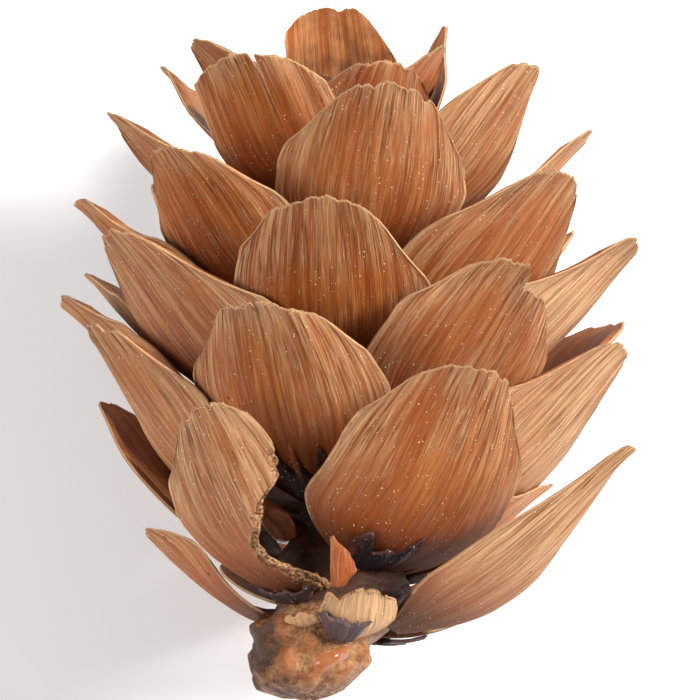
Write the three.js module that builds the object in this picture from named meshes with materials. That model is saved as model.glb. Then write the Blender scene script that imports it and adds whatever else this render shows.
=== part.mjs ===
// A larch cone, open and dry, lying on its side as it would rest on a table.
// Millimetres, +Z up. The cone's axis runs along +Y from the stalk to the tip.
// The cone is laid out standing, with z from the stalk to the tip and the viewer's
// side at -y, and the finished cone is then turned onto the scales that it rests on.

import * as THREE from 'three';

// The spiral that the scales follow, from scale 0 at the stalk to scale 41 at the tip
const SCALE_COUNT = 42;
const FRONT_SCALE = 8;
const FRONT_AZIMUTH = 20.8;
const TURN_PER_SCALE = 136.6;
const SPIRAL_TOP_SCALE = 40;
const SPIRAL_START = 0.6;
const SPIRAL_RISE = 26.1;
const SPIRAL_SAG = 6.2;

// Sizes at the stalk, the middle and the tip, as the three weights of a smooth curve
const OPENING = [62, 54, 46.5];
const SCALE_LENGTH = [11, 20.4, 8];
const SCALE_WIDTH = [7, 15.2, 5];

// The woody axis that the scales stand on
const AXIS_RADIUS_LOW = 2.7;
const AXIS_RADIUS_HIGH = 1.1;
const AXIS_TAPER_HEIGHT = 26;
const AXIS_GAP = 0.12;

// A scale's usual outline and bend
const USUAL = {
  roll: 0, lean: 0, left: 0.3, right: 0.3, top: 0.62, waist: 0.55,
  claw: 0.25, bow: 0.11, flare: 0.05, cup: 9, torn: false,
};
const SHOULDER_POWER = 2.4;
const LEAST_SPREAD = 0.1;
const HALVINGS = 20;
const CLAW_POWER = 1.3;
const BOW_POWER = 0.85;
const FLARE_POWER = 6;
const CLAW_THICKNESS = 0.85;
const BLADE_THICKNESS = 0.4;
const THICK_CLAW_SHARE = 0.35;
const UPRIGHT_CLAW_SHARE = 0.2;
const SCALE_ROWS = [0, 0.12, 0.28, 0.46, 0.64, 0.8, 0.92, 1];
const SCALE_COLUMNS = [-1, -0.55, 0, 0.55, 1];

// The torn scale's right edge: how far across it reaches at shares of its length
const TEAR = [[0, 1], [0.12, 0.35], [0.28, -0.12], [0.46, -0.06], [0.64, 0.36], [0.8, 0.6], [1, 0.62]];

// How single scales differ from the rule. Angles are in degrees: turn is round the
// axis, open is away from it, roll is about the scale's own length. Sizes are in
// millimetres: rise, long, wide and cup. The rest are shares of the scale.
const OWN_WAYS = {
  0: { turn: 2, rise: -0.5, open: -2, long: -7.4, wide: -3.2, left: 0.15, right: 0.3, top: 0.9, waist: 0.4, cup: 3 },
  2: { turn: -3, rise: -0.5, open: -7, long: -3.4, wide: -1.9, left: 0.2, right: 0.25, top: 0.7, waist: 0.8 },
  3: { turn: 4, rise: -1.4, open: -4, long: 3, wide: -2.2, roll: 10, right: 0.6, top: 0.3, waist: 0.3 },
  4: { turn: 0, open: 2, long: 0.4 },
  5: { turn: 1, rise: -1.1, open: -6, long: 0.5, roll: -4, left: 0.25, top: 0.65, torn: true },
  6: { turn: -2, open: -3, long: -3.6 },
  7: { turn: 3, rise: -0.3, open: -14, long: 1.2, roll: 12, right: 0.4, top: 0.55 },
  8: { turn: 8, rise: -1.2, open: -1, long: 0.5, wide: 0.7, roll: 6, lean: -0.05, left: 0.25, top: 0.7, waist: 0.3 },
  9: { turn: 1, open: 1, long: 0.2 },
  10: { turn: 1, rise: -0.5, open: -11, long: 0.4, wide: -2.4, lean: 0.04, left: 0.4, right: 0.25, top: 0.55 },
  11: { turn: 1, rise: -1.3, open: -6, long: 0.6, roll: 11, left: 0.4, right: 0.35, top: 0.6 },
  12: { turn: -2, open: -7, long: -0.6, roll: 3 },
  13: { turn: 1, rise: -1, open: 1, long: -0.4, roll: 12, right: 0.2, top: 0.75 },
  14: { turn: -7, rise: 0.6, open: -4, long: 1.6, wide: 0.2, roll: -8, top: 0.7 },
  15: { turn: 1, rise: 0.5, open: -5, long: 0.5, right: 0.25, top: 0.7 },
  16: { turn: 4, rise: -0.4, open: 4.6, wide: -1.3, roll: 8, lean: -0.04, left: 0.25, right: 0.25, top: 0.7 },
  17: { turn: -1, open: -8, long: -1.4 },
  18: { turn: 4, rise: 0.1, long: -0.4, wide: -0.4, roll: 4, right: 0.4 },
  19: { turn: -3, rise: -0.3, open: -2, long: 0.7, wide: -0.8, roll: 6, left: 0.35, top: 0.4 },
  20: { turn: 16, rise: -0.2, open: -2, long: 1.5, wide: 0.2, lean: 0.04, waist: 0.65 },
  21: { turn: 1, rise: -0.4, open: 8, long: -0.3, wide: -0.9, roll: 4, left: 0.25, right: 0.35, top: 0.8 },
  22: { turn: -8, rise: 0.4, open: -4, long: 1.4, roll: -2 },
  23: { turn: 1, open: -3, wide: -0.6 },
  24: { turn: 2, rise: -1.4, open: 3, long: 0.5, wide: -0.9, roll: 7, left: 0.25, top: 0.65 },
  25: { turn: 2, open: 3, long: 0.7 },
  26: { turn: -1, rise: -0.5, open: 4, long: -0.6, wide: -0.7, roll: 3, lean: 0.02, right: 0.25, top: 0.7 },
  27: { turn: -3, rise: 0.2, open: -6, long: 1.1, wide: -2.2 },
  29: { turn: 3, rise: -0.3, open: 4, wide: 0.2, roll: 2, lean: -0.02, top: 0.8 },
  30: { turn: 0, open: -8 },
  31: { turn: -1, rise: -0.2, open: 2, long: 0.3, wide: -0.6, roll: 3 },
  32: { turn: 1, open: 3, long: 0.6, wide: -1.2, roll: 6, lean: -0.08, left: 0.2, right: 0.4, top: 0.5 },
  33: { turn: 2, open: -13, long: 2.2, wide: -1 },
  34: { turn: -1, rise: -0.2, open: 5, long: -0.5, wide: -0.2, left: 0.15, right: 0.25, top: 0.95 },
  35: { turn: 15, open: -25, long: 1.5, wide: -0.2, roll: 10, top: 0.2 },
  36: { turn: 2, rise: -0.2, open: -4, long: 1.8, wide: -0.7, roll: 8, top: 0.5 },
  37: { open: 2, long: -3, wide: -0.4, roll: 4, left: 0.25, right: 0.2, top: 0.8 },
  38: { turn: 14, rise: 0.6, open: -28, long: 1.3, wide: 0, roll: -4, lean: 0.07, left: 0.25, right: 0.2, top: 0.9 },
  39: { turn: -3, rise: -0.3, open: 4, wide: 0.2, roll: -3, right: 0.25 },
  40: { turn: 1, rise: -0.5, open: -4, long: -1.6, wide: -0.4, roll: 2, right: 0.35 },
  41: { turn: -4, open: -28, long: -4, wide: -1.6 },
};

// The small unevenness of the scales that have no way of their own
const FAR_TURN = 3;
const FAR_OPEN = 4;
const FAR_ROLL = 6;
const FAR_LONG = 0.6;

// The bracts, each pressed to the outside of a low scale's claw. Scales 2 and 3 have
// lost theirs, and scales 0 and 5 keep only thin shreds, which are left out.
const BRACT_SCALES = [1, 4, 6, 7, 8, 9, 10, 11, 12, 13, 14, 15, 16, 17];
const BRACT_GAP = 0.1;
const BRACT_THICKNESS = 0.2;
const BRACT_LENGTH = 3.6;
const BRACT_START = 0.5;
const BRACT_HALF_WIDTH = 1.5;
const BRACT_CLAW = 0.5;
const BRACT_ROWS = [0, 0.35, 0.7, 1];
const BRACT_COLUMNS = [-1, -0.5, 0, 0.5, 1];
const BRACT_CUSPS = [1, 0.72, 0.82, 0.72, 1];
const OWN_BRACTS = { 13: { length: 6.2, halfWidth: 1.8 } };

// The stalk stub and the axis above it, as rings of [height, radius, x, y]
const STALK_SIDES = 12;
const STALK_RINGS = [
  [-2.3, 1.5, -2, -0.3],
  [-2, 2.3, -2, -0.3],
  [-1.2, 2.9, -1.8, -0.2],
  [-0.4, 3.1, -1.6, -0.1],
  [0.3, 2.8, -1.8, 0],
  [0.7, 2.3, -1.8, 0.1],
];
const STALK_LUMP = 0.1;
const STALK_LUMPS_ROUND = 3;
const AXIS_FOOT = 1.2;
const AXIS_TOP = 28.6;
const AXIS_STEPS = 6;
const AXIS_TOP_RADIUS = 0.45;

// The small torn pieces round the stalk. Each is a leaf of the given half width and
// length standing at an azimuth and height, open at an angle from the axis.
const TORN_PIECES = {
  torn_sliver: { azimuth: 0, radius: 5, height: 2.3, open: 30, halfWidth: 0.7, length: 2.6, thickness: 0.3, roll: -20 },
  seed: { azimuth: -41, radius: 3.8, height: 5.3, open: 50, halfWidth: 0.85, length: 2.3, thickness: 0.7, roll: 0 },
  basal_chip: { azimuth: -34, radius: 3.5, height: 0.6, open: 55, halfWidth: 1.1, length: 1, thickness: 0.25, roll: 0 },
};
const LEAF_ROWS = [0, 0.3, 0.6, 0.85, 1];
const LEAF_SHAPE = [0.55, 0.9, 1, 0.7, 0.25];
const LEAF_COLUMNS = [-1, 0, 1];
const LEAF_CROWN = 0.25;

// How the cone lies: the angles that bring it down onto three scale tips, and the
// move that puts the middle of its footprint at the origin
const REST_PITCH = 1.64;
const REST_ROLL = 0.42;
const REST_SHIFT = [-0.199, -16.675, 13.698];

const COLOURS = {
  scale: 0xa9683c,
  stump: 0xc29a76,
  bract: 0x3a2a28,
  stalk: 0x9a6440,
  seed: 0x8a3d14,
};

const radians = THREE.MathUtils.degToRad;
const clamp = THREE.MathUtils.clamp;

// A smooth curve through three weights, for x from 0 to 1
function curve([low, middle, high], x) {
  return low * (1 - x) ** 2 + 2 * middle * x * (1 - x) + high * x * x;
}

function axisRadius(height) {
  const taper = clamp(height / AXIS_TAPER_HEIGHT, 0, 1);
  return AXIS_RADIUS_LOW + (AXIS_RADIUS_HIGH - AXIS_RADIUS_LOW) * taper;
}

function ownWay(n) {
  if (OWN_WAYS[n]) return OWN_WAYS[n];
  return {
    turn: FAR_TURN * Math.sin(7.3 * n),
    open: FAR_OPEN * Math.sin(3.1 * n),
    roll: FAR_ROLL * Math.sin(5.7 * n),
    long: FAR_LONG * Math.sin(1.9 * n),
  };
}

// The rule and the scale's own way together: its sizes, its place and its directions
function scaleAt(n) {
  const own = ownWay(n);
  const x = n / SPIRAL_TOP_SCALE;
  const shape = { ...USUAL, ...own };
  const azimuth = radians(FRONT_AZIMUTH + TURN_PER_SCALE * (n - FRONT_SCALE) + (own.turn ?? 0));
  const height = SPIRAL_START + SPIRAL_RISE * x - SPIRAL_SAG * x * (1 - x) + (own.rise ?? 0);
  const open = radians(curve(OPENING, x) + (own.open ?? 0));
  shape.length = curve(SCALE_LENGTH, x) + (own.long ?? 0);
  shape.halfWidth = (curve(SCALE_WIDTH, x) + (own.wide ?? 0)) / 2;
  return { ...shape, ...standing(azimuth, axisRadius(height), height, open, radians(shape.roll)) };
}

// The directions of a leaf that stands on the axis: along it, across it and out of it
function standing(azimuth, radius, height, open, roll) {
  const out = new THREE.Vector3(Math.sin(azimuth), -Math.cos(azimuth), 0);
  const up = new THREE.Vector3(0, 0, 1);
  const side = new THREE.Vector3(Math.cos(azimuth), Math.sin(azimuth), 0);
  const foot = out.clone().multiplyScalar(radius).addScaledVector(up, height);
  const along = out.clone().multiplyScalar(Math.sin(open)).addScaledVector(up, Math.cos(open));
  const face = out.clone().multiplyScalar(Math.cos(open)).addScaledVector(up, -Math.sin(open));
  const across = side.clone().multiplyScalar(Math.cos(roll)).addScaledVector(face, Math.sin(roll));
  const outward = face.clone().multiplyScalar(Math.cos(roll)).addScaledVector(side, -Math.sin(roll));
  return { foot, along, across, outward };
}

// Half the width of a scale as a share of its widest, at share s of its length
function breadth(scale, s) {
  if (s < scale.waist) {
    const grown = Math.sin((s / scale.waist) * Math.PI / 2) ** CLAW_POWER;
    return scale.claw + (1 - scale.claw) * grown;
  }
  return 1 - (1 - scale.top) * ((s - scale.waist) / (1 - scale.waist)) ** 2;
}

// How far the right side of the torn scale still reaches, between -1 and 1
function tornEdge(s) {
  const above = TEAR.findIndex(([share]) => share >= s);
  if (above <= 0) return TEAR[0][1];
  const [low, lowReach] = TEAR[above - 1];
  const [high, highReach] = TEAR[above];
  return THREE.MathUtils.mapLinear(s, low, high, lowReach, highReach);
}

// How far across the scale the line lies that starts at this share of the half width
function reachAcross(scale, s, across) {
  return scale.torn ? THREE.MathUtils.mapLinear(across, -1, 1, -1, tornEdge(s)) : across;
}

// How much lower than its middle the scale ends here, as a share of its length
function shoulderDrop(scale, v) {
  return (v < 0 ? scale.left : scale.right) * Math.abs(v) ** SHOULDER_POWER;
}

// How far along the scale a line runs before the narrowing top and the sloping shoulder
// would fold the outline back over itself
function lineEnd(scale, across) {
  const drop = shoulderDrop(scale, reachAcross(scale, 1, across));
  const spread = (s) => {
    const narrowing = -2 * (1 - scale.top) * (s - scale.waist) / (1 - scale.waist) ** 2;
    return breadth(scale, s) * (1 - 3 * drop * s * s) + SHOULDER_POWER * drop * s ** 3 * narrowing;
  };
  if (spread(1) > LEAST_SPREAD) return 1;
  let open = scale.waist;
  let shut = 1;
  for (let i = 0; i < HALVINGS; i += 1) {
    const middle = (open + shut) / 2;
    if (spread(middle) > LEAST_SPREAD) open = middle;
    else shut = middle;
  }
  return open;
}

// The flat outline's point [x, y] at a share of a line's length and across the half width
function flatPoint(scale, share, across) {
  const s = share * lineEnd(scale, across);
  const v = reachAcross(scale, s, across);
  const x = v * scale.halfWidth * breadth(scale, s) + scale.lean * scale.length * s * s;
  return [x, scale.length * s * (1 - shoulderDrop(scale, v) * s * s)];
}

// The flat point bent into place on the scale's outer face
function bend(scale, [x, y], lift = 0) {
  const share = clamp(y / scale.length, 0, 1);
  const bow = scale.bow * scale.length * Math.sin(Math.PI * share ** BOW_POWER);
  const flare = scale.flare * scale.length * share ** FLARE_POWER;
  const depth = bow + flare - x * x / (2 * scale.cup) + lift;
  return scale.foot.clone()
    .addScaledVector(scale.along, y)
    .addScaledVector(scale.across, x)
    .addScaledVector(scale.outward, depth);
}

// A closed mesh between two grids of points that share their rows and columns
function shell(outer, inner) {
  const rows = outer.length;
  const columns = outer[0].length;
  const positions = [...outer.flat(), ...inner.flat()].flatMap((p) => p.toArray());
  const at = (layer, r, c) => layer * rows * columns + r * columns + c;
  const faces = [];
  for (let r = 0; r < rows - 1; r += 1) {
    for (let c = 0; c < columns - 1; c += 1) {
      faces.push(at(0, r, c), at(0, r, c + 1), at(0, r + 1, c + 1));
      faces.push(at(0, r, c), at(0, r + 1, c + 1), at(0, r + 1, c));
      faces.push(at(1, r, c), at(1, r + 1, c + 1), at(1, r, c + 1));
      faces.push(at(1, r, c), at(1, r + 1, c), at(1, r + 1, c + 1));
    }
  }
  const rim = [];
  for (let c = 0; c < columns - 1; c += 1) rim.push([0, c]);
  for (let r = 0; r < rows - 1; r += 1) rim.push([r, columns - 1]);
  for (let c = columns - 1; c > 0; c -= 1) rim.push([rows - 1, c]);
  for (let r = rows - 1; r > 0; r -= 1) rim.push([r, 0]);
  rim.forEach(([r, c], i) => {
    const [r2, c2] = rim[(i + 1) % rim.length];
    faces.push(at(0, r, c), at(1, r, c), at(1, r2, c2));
    faces.push(at(0, r, c), at(1, r2, c2), at(0, r2, c2));
  });
  const geometry = new THREE.BufferGeometry();
  geometry.setAttribute('position', new THREE.Float32BufferAttribute(positions, 3));
  geometry.setIndex(faces);
  geometry.computeVertexNormals();
  return geometry;
}

// A scale's blade. Its inner face is set in by the thickness, straight up at the claw
// so that the claw's end stays on the axis, and square to the blade further out.
function scaleGeometry(scale) {
  const up = new THREE.Vector3(0, 0, 1);
  const outer = SCALE_ROWS.map((s) => SCALE_COLUMNS.map((v) => bend(scale, flatPoint(scale, s, v))));
  const inner = SCALE_ROWS.map((s, r) => {
    const thick = CLAW_THICKNESS
      + (BLADE_THICKNESS - CLAW_THICKNESS) * clamp(s / THICK_CLAW_SHARE, 0, 1);
    const inward = scale.outward.clone().negate();
    inward.lerpVectors(up, inward, clamp(s / UPRIGHT_CLAW_SHARE, 0, 1)).normalize();
    return outer[r].map((p) => p.clone().addScaledVector(inward, thick));
  });
  return shell(outer, inner);
}

// A bract: a small shield with two cusps and a blunt point, on the claw's outer face.
// One bract is longer and broader than the rest.
function bractGeometry(scale, { length = BRACT_LENGTH, halfWidth = BRACT_HALF_WIDTH } = {}) {
  const layer = (lift) => BRACT_ROWS.map((s) => BRACT_COLUMNS.map((v, c) => {
    const x = v * halfWidth * (BRACT_CLAW + (1 - BRACT_CLAW) * s);
    const y = BRACT_START + (length - BRACT_START) * s * (1 - s * (1 - BRACT_CUSPS[c]));
    return bend(scale, [x, y], lift);
  }));
  return shell(layer(BRACT_GAP + BRACT_THICKNESS), layer(BRACT_GAP));
}

// A small torn leaf: its half width follows LEAF_SHAPE and its middle stands proud
function leafGeometry({ azimuth, radius, height, open, halfWidth, length, thickness, roll }) {
  const place = standing(radians(azimuth), radius, height, radians(open), radians(roll));
  const layer = (lift) => LEAF_ROWS.map((s, r) => LEAF_COLUMNS.map((v) => {
    const crown = LEAF_CROWN * halfWidth * (1 - v * v);
    return place.foot.clone()
      .addScaledVector(place.along, length * s)
      .addScaledVector(place.across, v * halfWidth * LEAF_SHAPE[r])
      .addScaledVector(place.outward, crown + lift);
  }));
  return shell(layer(thickness), layer(0));
}

// The stub and the axis as one closed skin over a stack of rings
function stalkGeometry() {
  const rings = [...STALK_RINGS];
  for (let i = 0; i <= AXIS_STEPS; i += 1) {
    const height = AXIS_FOOT + (AXIS_TOP - AXIS_FOOT) * i / AXIS_STEPS;
    const radius = i === AXIS_STEPS ? AXIS_TOP_RADIUS : axisRadius(height) - AXIS_GAP;
    rings.push([height, radius, 0, 0]);
  }
  const positions = [];
  rings.forEach(([height, radius, x, y], r) => {
    for (let k = 0; k < STALK_SIDES; k += 1) {
      const angle = 2 * Math.PI * k / STALK_SIDES;
      const lump = r < STALK_RINGS.length ? 1 + STALK_LUMP * Math.sin(STALK_LUMPS_ROUND * angle + r) : 1;
      positions.push(x + radius * lump * Math.cos(angle), y + radius * lump * Math.sin(angle), height);
    }
  });
  const faces = [];
  for (let r = 0; r < rings.length - 1; r += 1) {
    for (let k = 0; k < STALK_SIDES; k += 1) {
      const next = (k + 1) % STALK_SIDES;
      const low = r * STALK_SIDES;
      const high = low + STALK_SIDES;
      faces.push(low + k, low + next, high + next, low + k, high + next, high + k);
    }
  }
  const last = (rings.length - 1) * STALK_SIDES;
  for (let k = 1; k < STALK_SIDES - 1; k += 1) {
    faces.push(0, k + 1, k, last, last + k, last + k + 1);
  }
  const geometry = new THREE.BufferGeometry();
  geometry.setAttribute('position', new THREE.Float32BufferAttribute(positions, 3));
  geometry.setIndex(faces);
  geometry.computeVertexNormals();
  return geometry;
}

function material(colour, roughness) {
  return new THREE.MeshStandardMaterial({ color: colour, roughness, metalness: 0 });
}

const scaleWood = material(COLOURS.scale, 0.7);
const stumpWood = material(COLOURS.stump, 0.9);
const bractSkin = material(COLOURS.bract, 0.6);
const stalkBark = material(COLOURS.stalk, 0.6);
const seedCoat = material(COLOURS.seed, 0.45);

const cone = new THREE.Group();

function addPiece(name, geometry, finish) {
  const piece = new THREE.Mesh(geometry, finish);
  piece.name = name;
  cone.add(piece);
}

addPiece('stalk_and_axis', stalkGeometry(), stalkBark);
for (let n = 0; n < SCALE_COUNT; n += 1) {
  const number = String(n).padStart(2, '0');
  addPiece(`scale_${number}`, scaleGeometry(scaleAt(n)), n === 0 ? stumpWood : scaleWood);
  if (BRACT_SCALES.includes(n)) {
    addPiece(`bract_${number}`, bractGeometry(scaleAt(n), OWN_BRACTS[n]), bractSkin);
  }
}
addPiece('torn_sliver', leafGeometry(TORN_PIECES.torn_sliver), scaleWood);
addPiece('seed', leafGeometry(TORN_PIECES.seed), seedCoat);
addPiece('basal_chip', leafGeometry(TORN_PIECES.basal_chip), stumpWood);

// Laid down: the pitch tips the axis onto the table and the roll turns it on its side
cone.rotation.set(radians(REST_PITCH - 90), 0, radians(REST_ROLL));
cone.position.set(...REST_SHIFT);

const part = new THREE.Group();
part.add(cone);

export default part;
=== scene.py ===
"""An open, dry larch cone lying on its side on a pale table.

The scales, bracts and torn pieces are worked out standing, in millimetres: x to the right,
y away from the viewer and z along the axis from the stalk to the tip. The finished pieces
are then laid down as the cone rests. Lengths in the stage are metres.
"""

import math

import bpy
import numpy as np
from bpy.props import FloatProperty, FloatVectorProperty, IntProperty, PointerProperty
from mathutils import Matrix, Vector


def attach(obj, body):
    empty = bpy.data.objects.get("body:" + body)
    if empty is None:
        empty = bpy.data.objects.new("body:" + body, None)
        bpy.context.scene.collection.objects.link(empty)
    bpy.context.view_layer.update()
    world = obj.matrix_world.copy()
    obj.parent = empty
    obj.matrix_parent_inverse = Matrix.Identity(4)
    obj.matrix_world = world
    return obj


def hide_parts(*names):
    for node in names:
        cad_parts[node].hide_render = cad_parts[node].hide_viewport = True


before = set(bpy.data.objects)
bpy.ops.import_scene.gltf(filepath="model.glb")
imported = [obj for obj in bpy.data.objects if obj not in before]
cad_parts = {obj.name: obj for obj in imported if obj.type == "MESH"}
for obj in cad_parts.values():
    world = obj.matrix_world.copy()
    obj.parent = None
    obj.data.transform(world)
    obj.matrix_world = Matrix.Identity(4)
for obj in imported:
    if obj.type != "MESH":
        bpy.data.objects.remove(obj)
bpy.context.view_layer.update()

bl_info = {
    "name": "Larch cone",
    "version": (1, 0, 0),
    "blender": (4, 5, 0),
    "location": "3D View > Sidebar > Larch cone",
    "description": "Builds an open larch cone, scale by scale, with its bracts and its stalk stub",
    "category": "Add Mesh",
}

MM = 0.001

# The spiral that the scales follow, from scale 0 at the stalk to scale 41 at the tip
SCALE_COUNT = 42
FRONT_SCALE = 8
FRONT_AZIMUTH = 20.8
TURN_PER_SCALE = 136.6
SPIRAL_TOP_SCALE = 40
SPIRAL_START = 0.6
SPIRAL_RISE = 26.1
SPIRAL_SAG = 6.2

# A scale's opening in degrees and its length and width, as the three weights of a smooth curve: the
# value at the stalk, one between that the curve is only drawn towards, and the value at the tip
OPENING = (62, 54, 46.5)
SCALE_LENGTH = (11, 20.4, 8)
SCALE_WIDTH = (7, 15.2, 5)

# The woody axis
AXIS_RADIUS_LOW = 2.7
AXIS_RADIUS_HIGH = 1.1
AXIS_TAPER_HEIGHT = 26
AXIS_GAP = 0.12
AXIS_FOOT = 6
AXIS_TOP = 28.6
AXIS_TOP_RADIUS = 0.45

# A scale's usual outline and bend
USUAL = {
    "roll": 0, "lean": 0, "left": 0.3, "right": 0.3, "top": 0.62, "waist": 0.55,
    "claw": 0.25, "bow": 0.11, "flare": 0.05, "cup": 9, "torn": False,
}
SHOULDER_POWER = 2.4
LEAST_SPREAD = 0.1
HALVINGS = 20
CLAW_POWER = 1.3
BOW_POWER = 0.85
FLARE_POWER = 6

# A scale's thickness, in millimetres and in shares of its length. Near the margin it thins from
# the blade's to the rim's, and is rounded off at the end to a share of that.
CLAW_THICKNESS = 0.85
BLADE_THICKNESS = 0.4
THICK_CLAW_SHARE = 0.35
UPRIGHT_CLAW_SHARE = 0.2
THINNING = (0.05, 1.6)
ROUND_EDGE = 0.09
EDGE_SHARE = 0.3

# The two sizes of a scale's ridges, by width and length in millimetres, the share of the wide
# ones on each face, how high ridges are at the claw, and the smooth strip inside the margin
WIDE_RIDGES = (0.62, 7)
NARROW_RIDGES = (0.27, 4)
WIDE_SHARE = 0.6
INNER_SHARE = 0.4
RIDGES_AT_CLAW = 0.35
RIDGE_FREE_EDGE = 0.25

# Slow waves and swells of the whole scale: how many across half of it and along it
WAVES = (2.6, 1.8)
WAVE_START = 0.4
SWELLS = (1.3, 2.3)
SWELL_HEIGHT = 0.12

# Uneven sides, and where the sides of the claw stop counting as a margin
SIDE_BUMPS = 9
SIDE_DEPTH = 0.02
SIDE_POWER = 8
CLAW_SIDES = (0.2, 0.05)
CLAW_CLEAR = 0.6

# The two seed hollows of the inner face: place and half width across and along, and depth
HOLLOW_ACROSS = (0.4, 0.2)
HOLLOW_ALONG = (0.27, 0.12)
HOLLOW_DEPTH = 0.16

# Scale 0 is a stump: its ridges are low, its wood is pale, its edge is crumbly and it shows
# none of the painted shade at a scale's foot
STUMP_RIDGES = 0.3
STUMP_PALE = 0.8
STUMP_CRUMBS = 0.6
STUMP_CRUMB_EDGE = (0.3, 0.08)
STUMP_CLEAR_OF_FOOT = 9

# The torn scale's right edge: how far across it reaches at shares of its length, and its jags
# as (number along it, depth, seed)
TEAR_SHARES = (0, 0.12, 0.28, 0.46, 0.64, 0.8, 1)
TEAR_REACHES = (1, 0.35, -0.12, -0.06, 0.36, 0.6, 0.62)
TEAR_JAGS = ((17, 0.06, 31), (47, 0.045, 32))
TEAR_END = (0.85, 0.75)

# The crumbly strip along the tear, in millimetres and in shares of the length
CRUMB_WIDTH = 0.38
CRUMB_LOW_WIDTH = 0.5
CRUMB_LOW = (0.4, 0.15)
CRUMB_WANDER = 0.16
CRUMB_BORDER = 0.12
CRUMB_END = (0.8, 0.74)
CRUMB_SIZES = ((0.13, 33), (0.31, 34))
CRUMB_HEIGHT = 0.12
CRUMB_DEPTH = 0.18

# How single scales differ from the rule. Angles are in degrees, and rise, long, wide
# and cup are in millimetres. The rest are shares of the scale.
OWN_WAYS = {
    0: dict(turn=2, rise=-0.5, open=-2, long=-7.4, wide=-3.2, left=0.15, top=0.9, waist=0.4, cup=3),
    2: dict(turn=-3, rise=-0.5, open=-7, long=-3.4, wide=-1.9, left=0.2, right=0.25, top=0.7, waist=0.8),
    3: dict(turn=4, rise=-1.4, open=-4, long=3, wide=-2.2, roll=10, right=0.6, top=0.3, waist=0.3),
    4: dict(turn=0, open=2, long=0.4),
    5: dict(turn=1, rise=-1.1, open=-6, long=0.5, roll=-4, left=0.25, top=0.65, torn=True),
    6: dict(turn=-2, open=-3, long=-3.6),
    7: dict(turn=3, rise=-0.3, open=-14, long=1.2, roll=12, right=0.4, top=0.55),
    8: dict(
        turn=8, rise=-1.2, open=-1, long=0.5, wide=0.7, roll=6, lean=-0.05, left=0.25, top=0.7,
        waist=0.3),
    9: dict(turn=1, open=1, long=0.2),
    10: dict(turn=1, rise=-0.5, open=-11, long=0.4, wide=-2.4, lean=0.04, left=0.4, right=0.25, top=0.55),
    11: dict(turn=1, rise=-1.3, open=-6, long=0.6, roll=11, left=0.4, right=0.35, top=0.6),
    12: dict(turn=-2, open=-7, long=-0.6, roll=3),
    13: dict(turn=1, rise=-1, open=1, long=-0.4, roll=12, right=0.2, top=0.75),
    14: dict(turn=-7, rise=0.6, open=-4, long=1.6, wide=0.2, roll=-8, top=0.7),
    15: dict(turn=1, rise=0.5, open=-5, long=0.5, right=0.25, top=0.7),
    16: dict(turn=4, rise=-0.4, open=4.6, wide=-1.3, roll=8, lean=-0.04, left=0.25, right=0.25, top=0.7),
    17: dict(turn=-1, open=-8, long=-1.4),
    18: dict(turn=4, rise=0.1, long=-0.4, wide=-0.4, roll=4, right=0.4),
    19: dict(turn=-3, rise=-0.3, open=-2, long=0.7, wide=-0.8, roll=6, left=0.35, top=0.4),
    20: dict(turn=16, rise=-0.2, open=-2, long=1.5, wide=0.2, lean=0.04, waist=0.65),
    21: dict(turn=1, rise=-0.4, open=8, long=-0.3, wide=-0.9, roll=4, left=0.25, right=0.35, top=0.8),
    22: dict(turn=-8, rise=0.4, open=-4, long=1.4, roll=-2),
    23: dict(turn=1, open=-3, wide=-0.6),
    24: dict(turn=2, rise=-1.4, open=3, long=0.5, wide=-0.9, roll=7, left=0.25, top=0.65),
    25: dict(turn=2, open=3, long=0.7),
    26: dict(turn=-1, rise=-0.5, open=4, long=-0.6, wide=-0.7, roll=3, lean=0.02, right=0.25, top=0.7),
    27: dict(turn=-3, rise=0.2, open=-6, long=1.1, wide=-2.2),
    29: dict(turn=3, rise=-0.3, open=4, wide=0.2, roll=2, lean=-0.02, top=0.8),
    30: dict(turn=0, open=-8),
    31: dict(turn=-1, rise=-0.2, open=2, long=0.3, wide=-0.6, roll=3),
    32: dict(turn=1, open=3, long=0.6, wide=-1.2, roll=6, lean=-0.08, left=0.2, right=0.4, top=0.5),
    33: dict(turn=2, open=-13, long=2.2, wide=-1),
    34: dict(turn=-1, rise=-0.2, open=5, long=-0.5, wide=-0.2, left=0.15, right=0.25, top=0.95),
    35: dict(turn=15, open=-25, long=1.5, wide=-0.2, roll=10, top=0.2),
    36: dict(turn=2, rise=-0.2, open=-4, long=1.8, wide=-0.7, roll=8, top=0.5),
    37: dict(open=2, long=-3, wide=-0.4, roll=4, left=0.25, right=0.2, top=0.8),
    38: dict(
        turn=14, rise=0.6, open=-28, long=1.3, wide=0, roll=-4, lean=0.07, left=0.25, right=0.2,
        top=0.9),
    39: dict(turn=-3, rise=-0.3, open=4, wide=0.2, roll=-3, right=0.25),
    40: dict(turn=1, rise=-0.5, open=-4, long=-1.6, wide=-0.4, roll=2, right=0.35),
    41: dict(turn=-4, open=-28, long=-4, wide=-1.6),
}

# The made-up differences of the scales with no entry: how large, and how fast they change
FAR_WAYS = {"turn": (3, 7.3), "open": (4, 3.1), "roll": (6, 5.7), "long": (0.6, 1.9)}

# Unevenness of a margin: (bumps across half of a broad scale, shift from scale to scale, share, seed)
MARGIN_BUMPS = ((7, 3, 1, 100), (23, 0, 0.5, 200), (58, 0, 0.45, 250))
BROAD_HALF = 4

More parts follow.
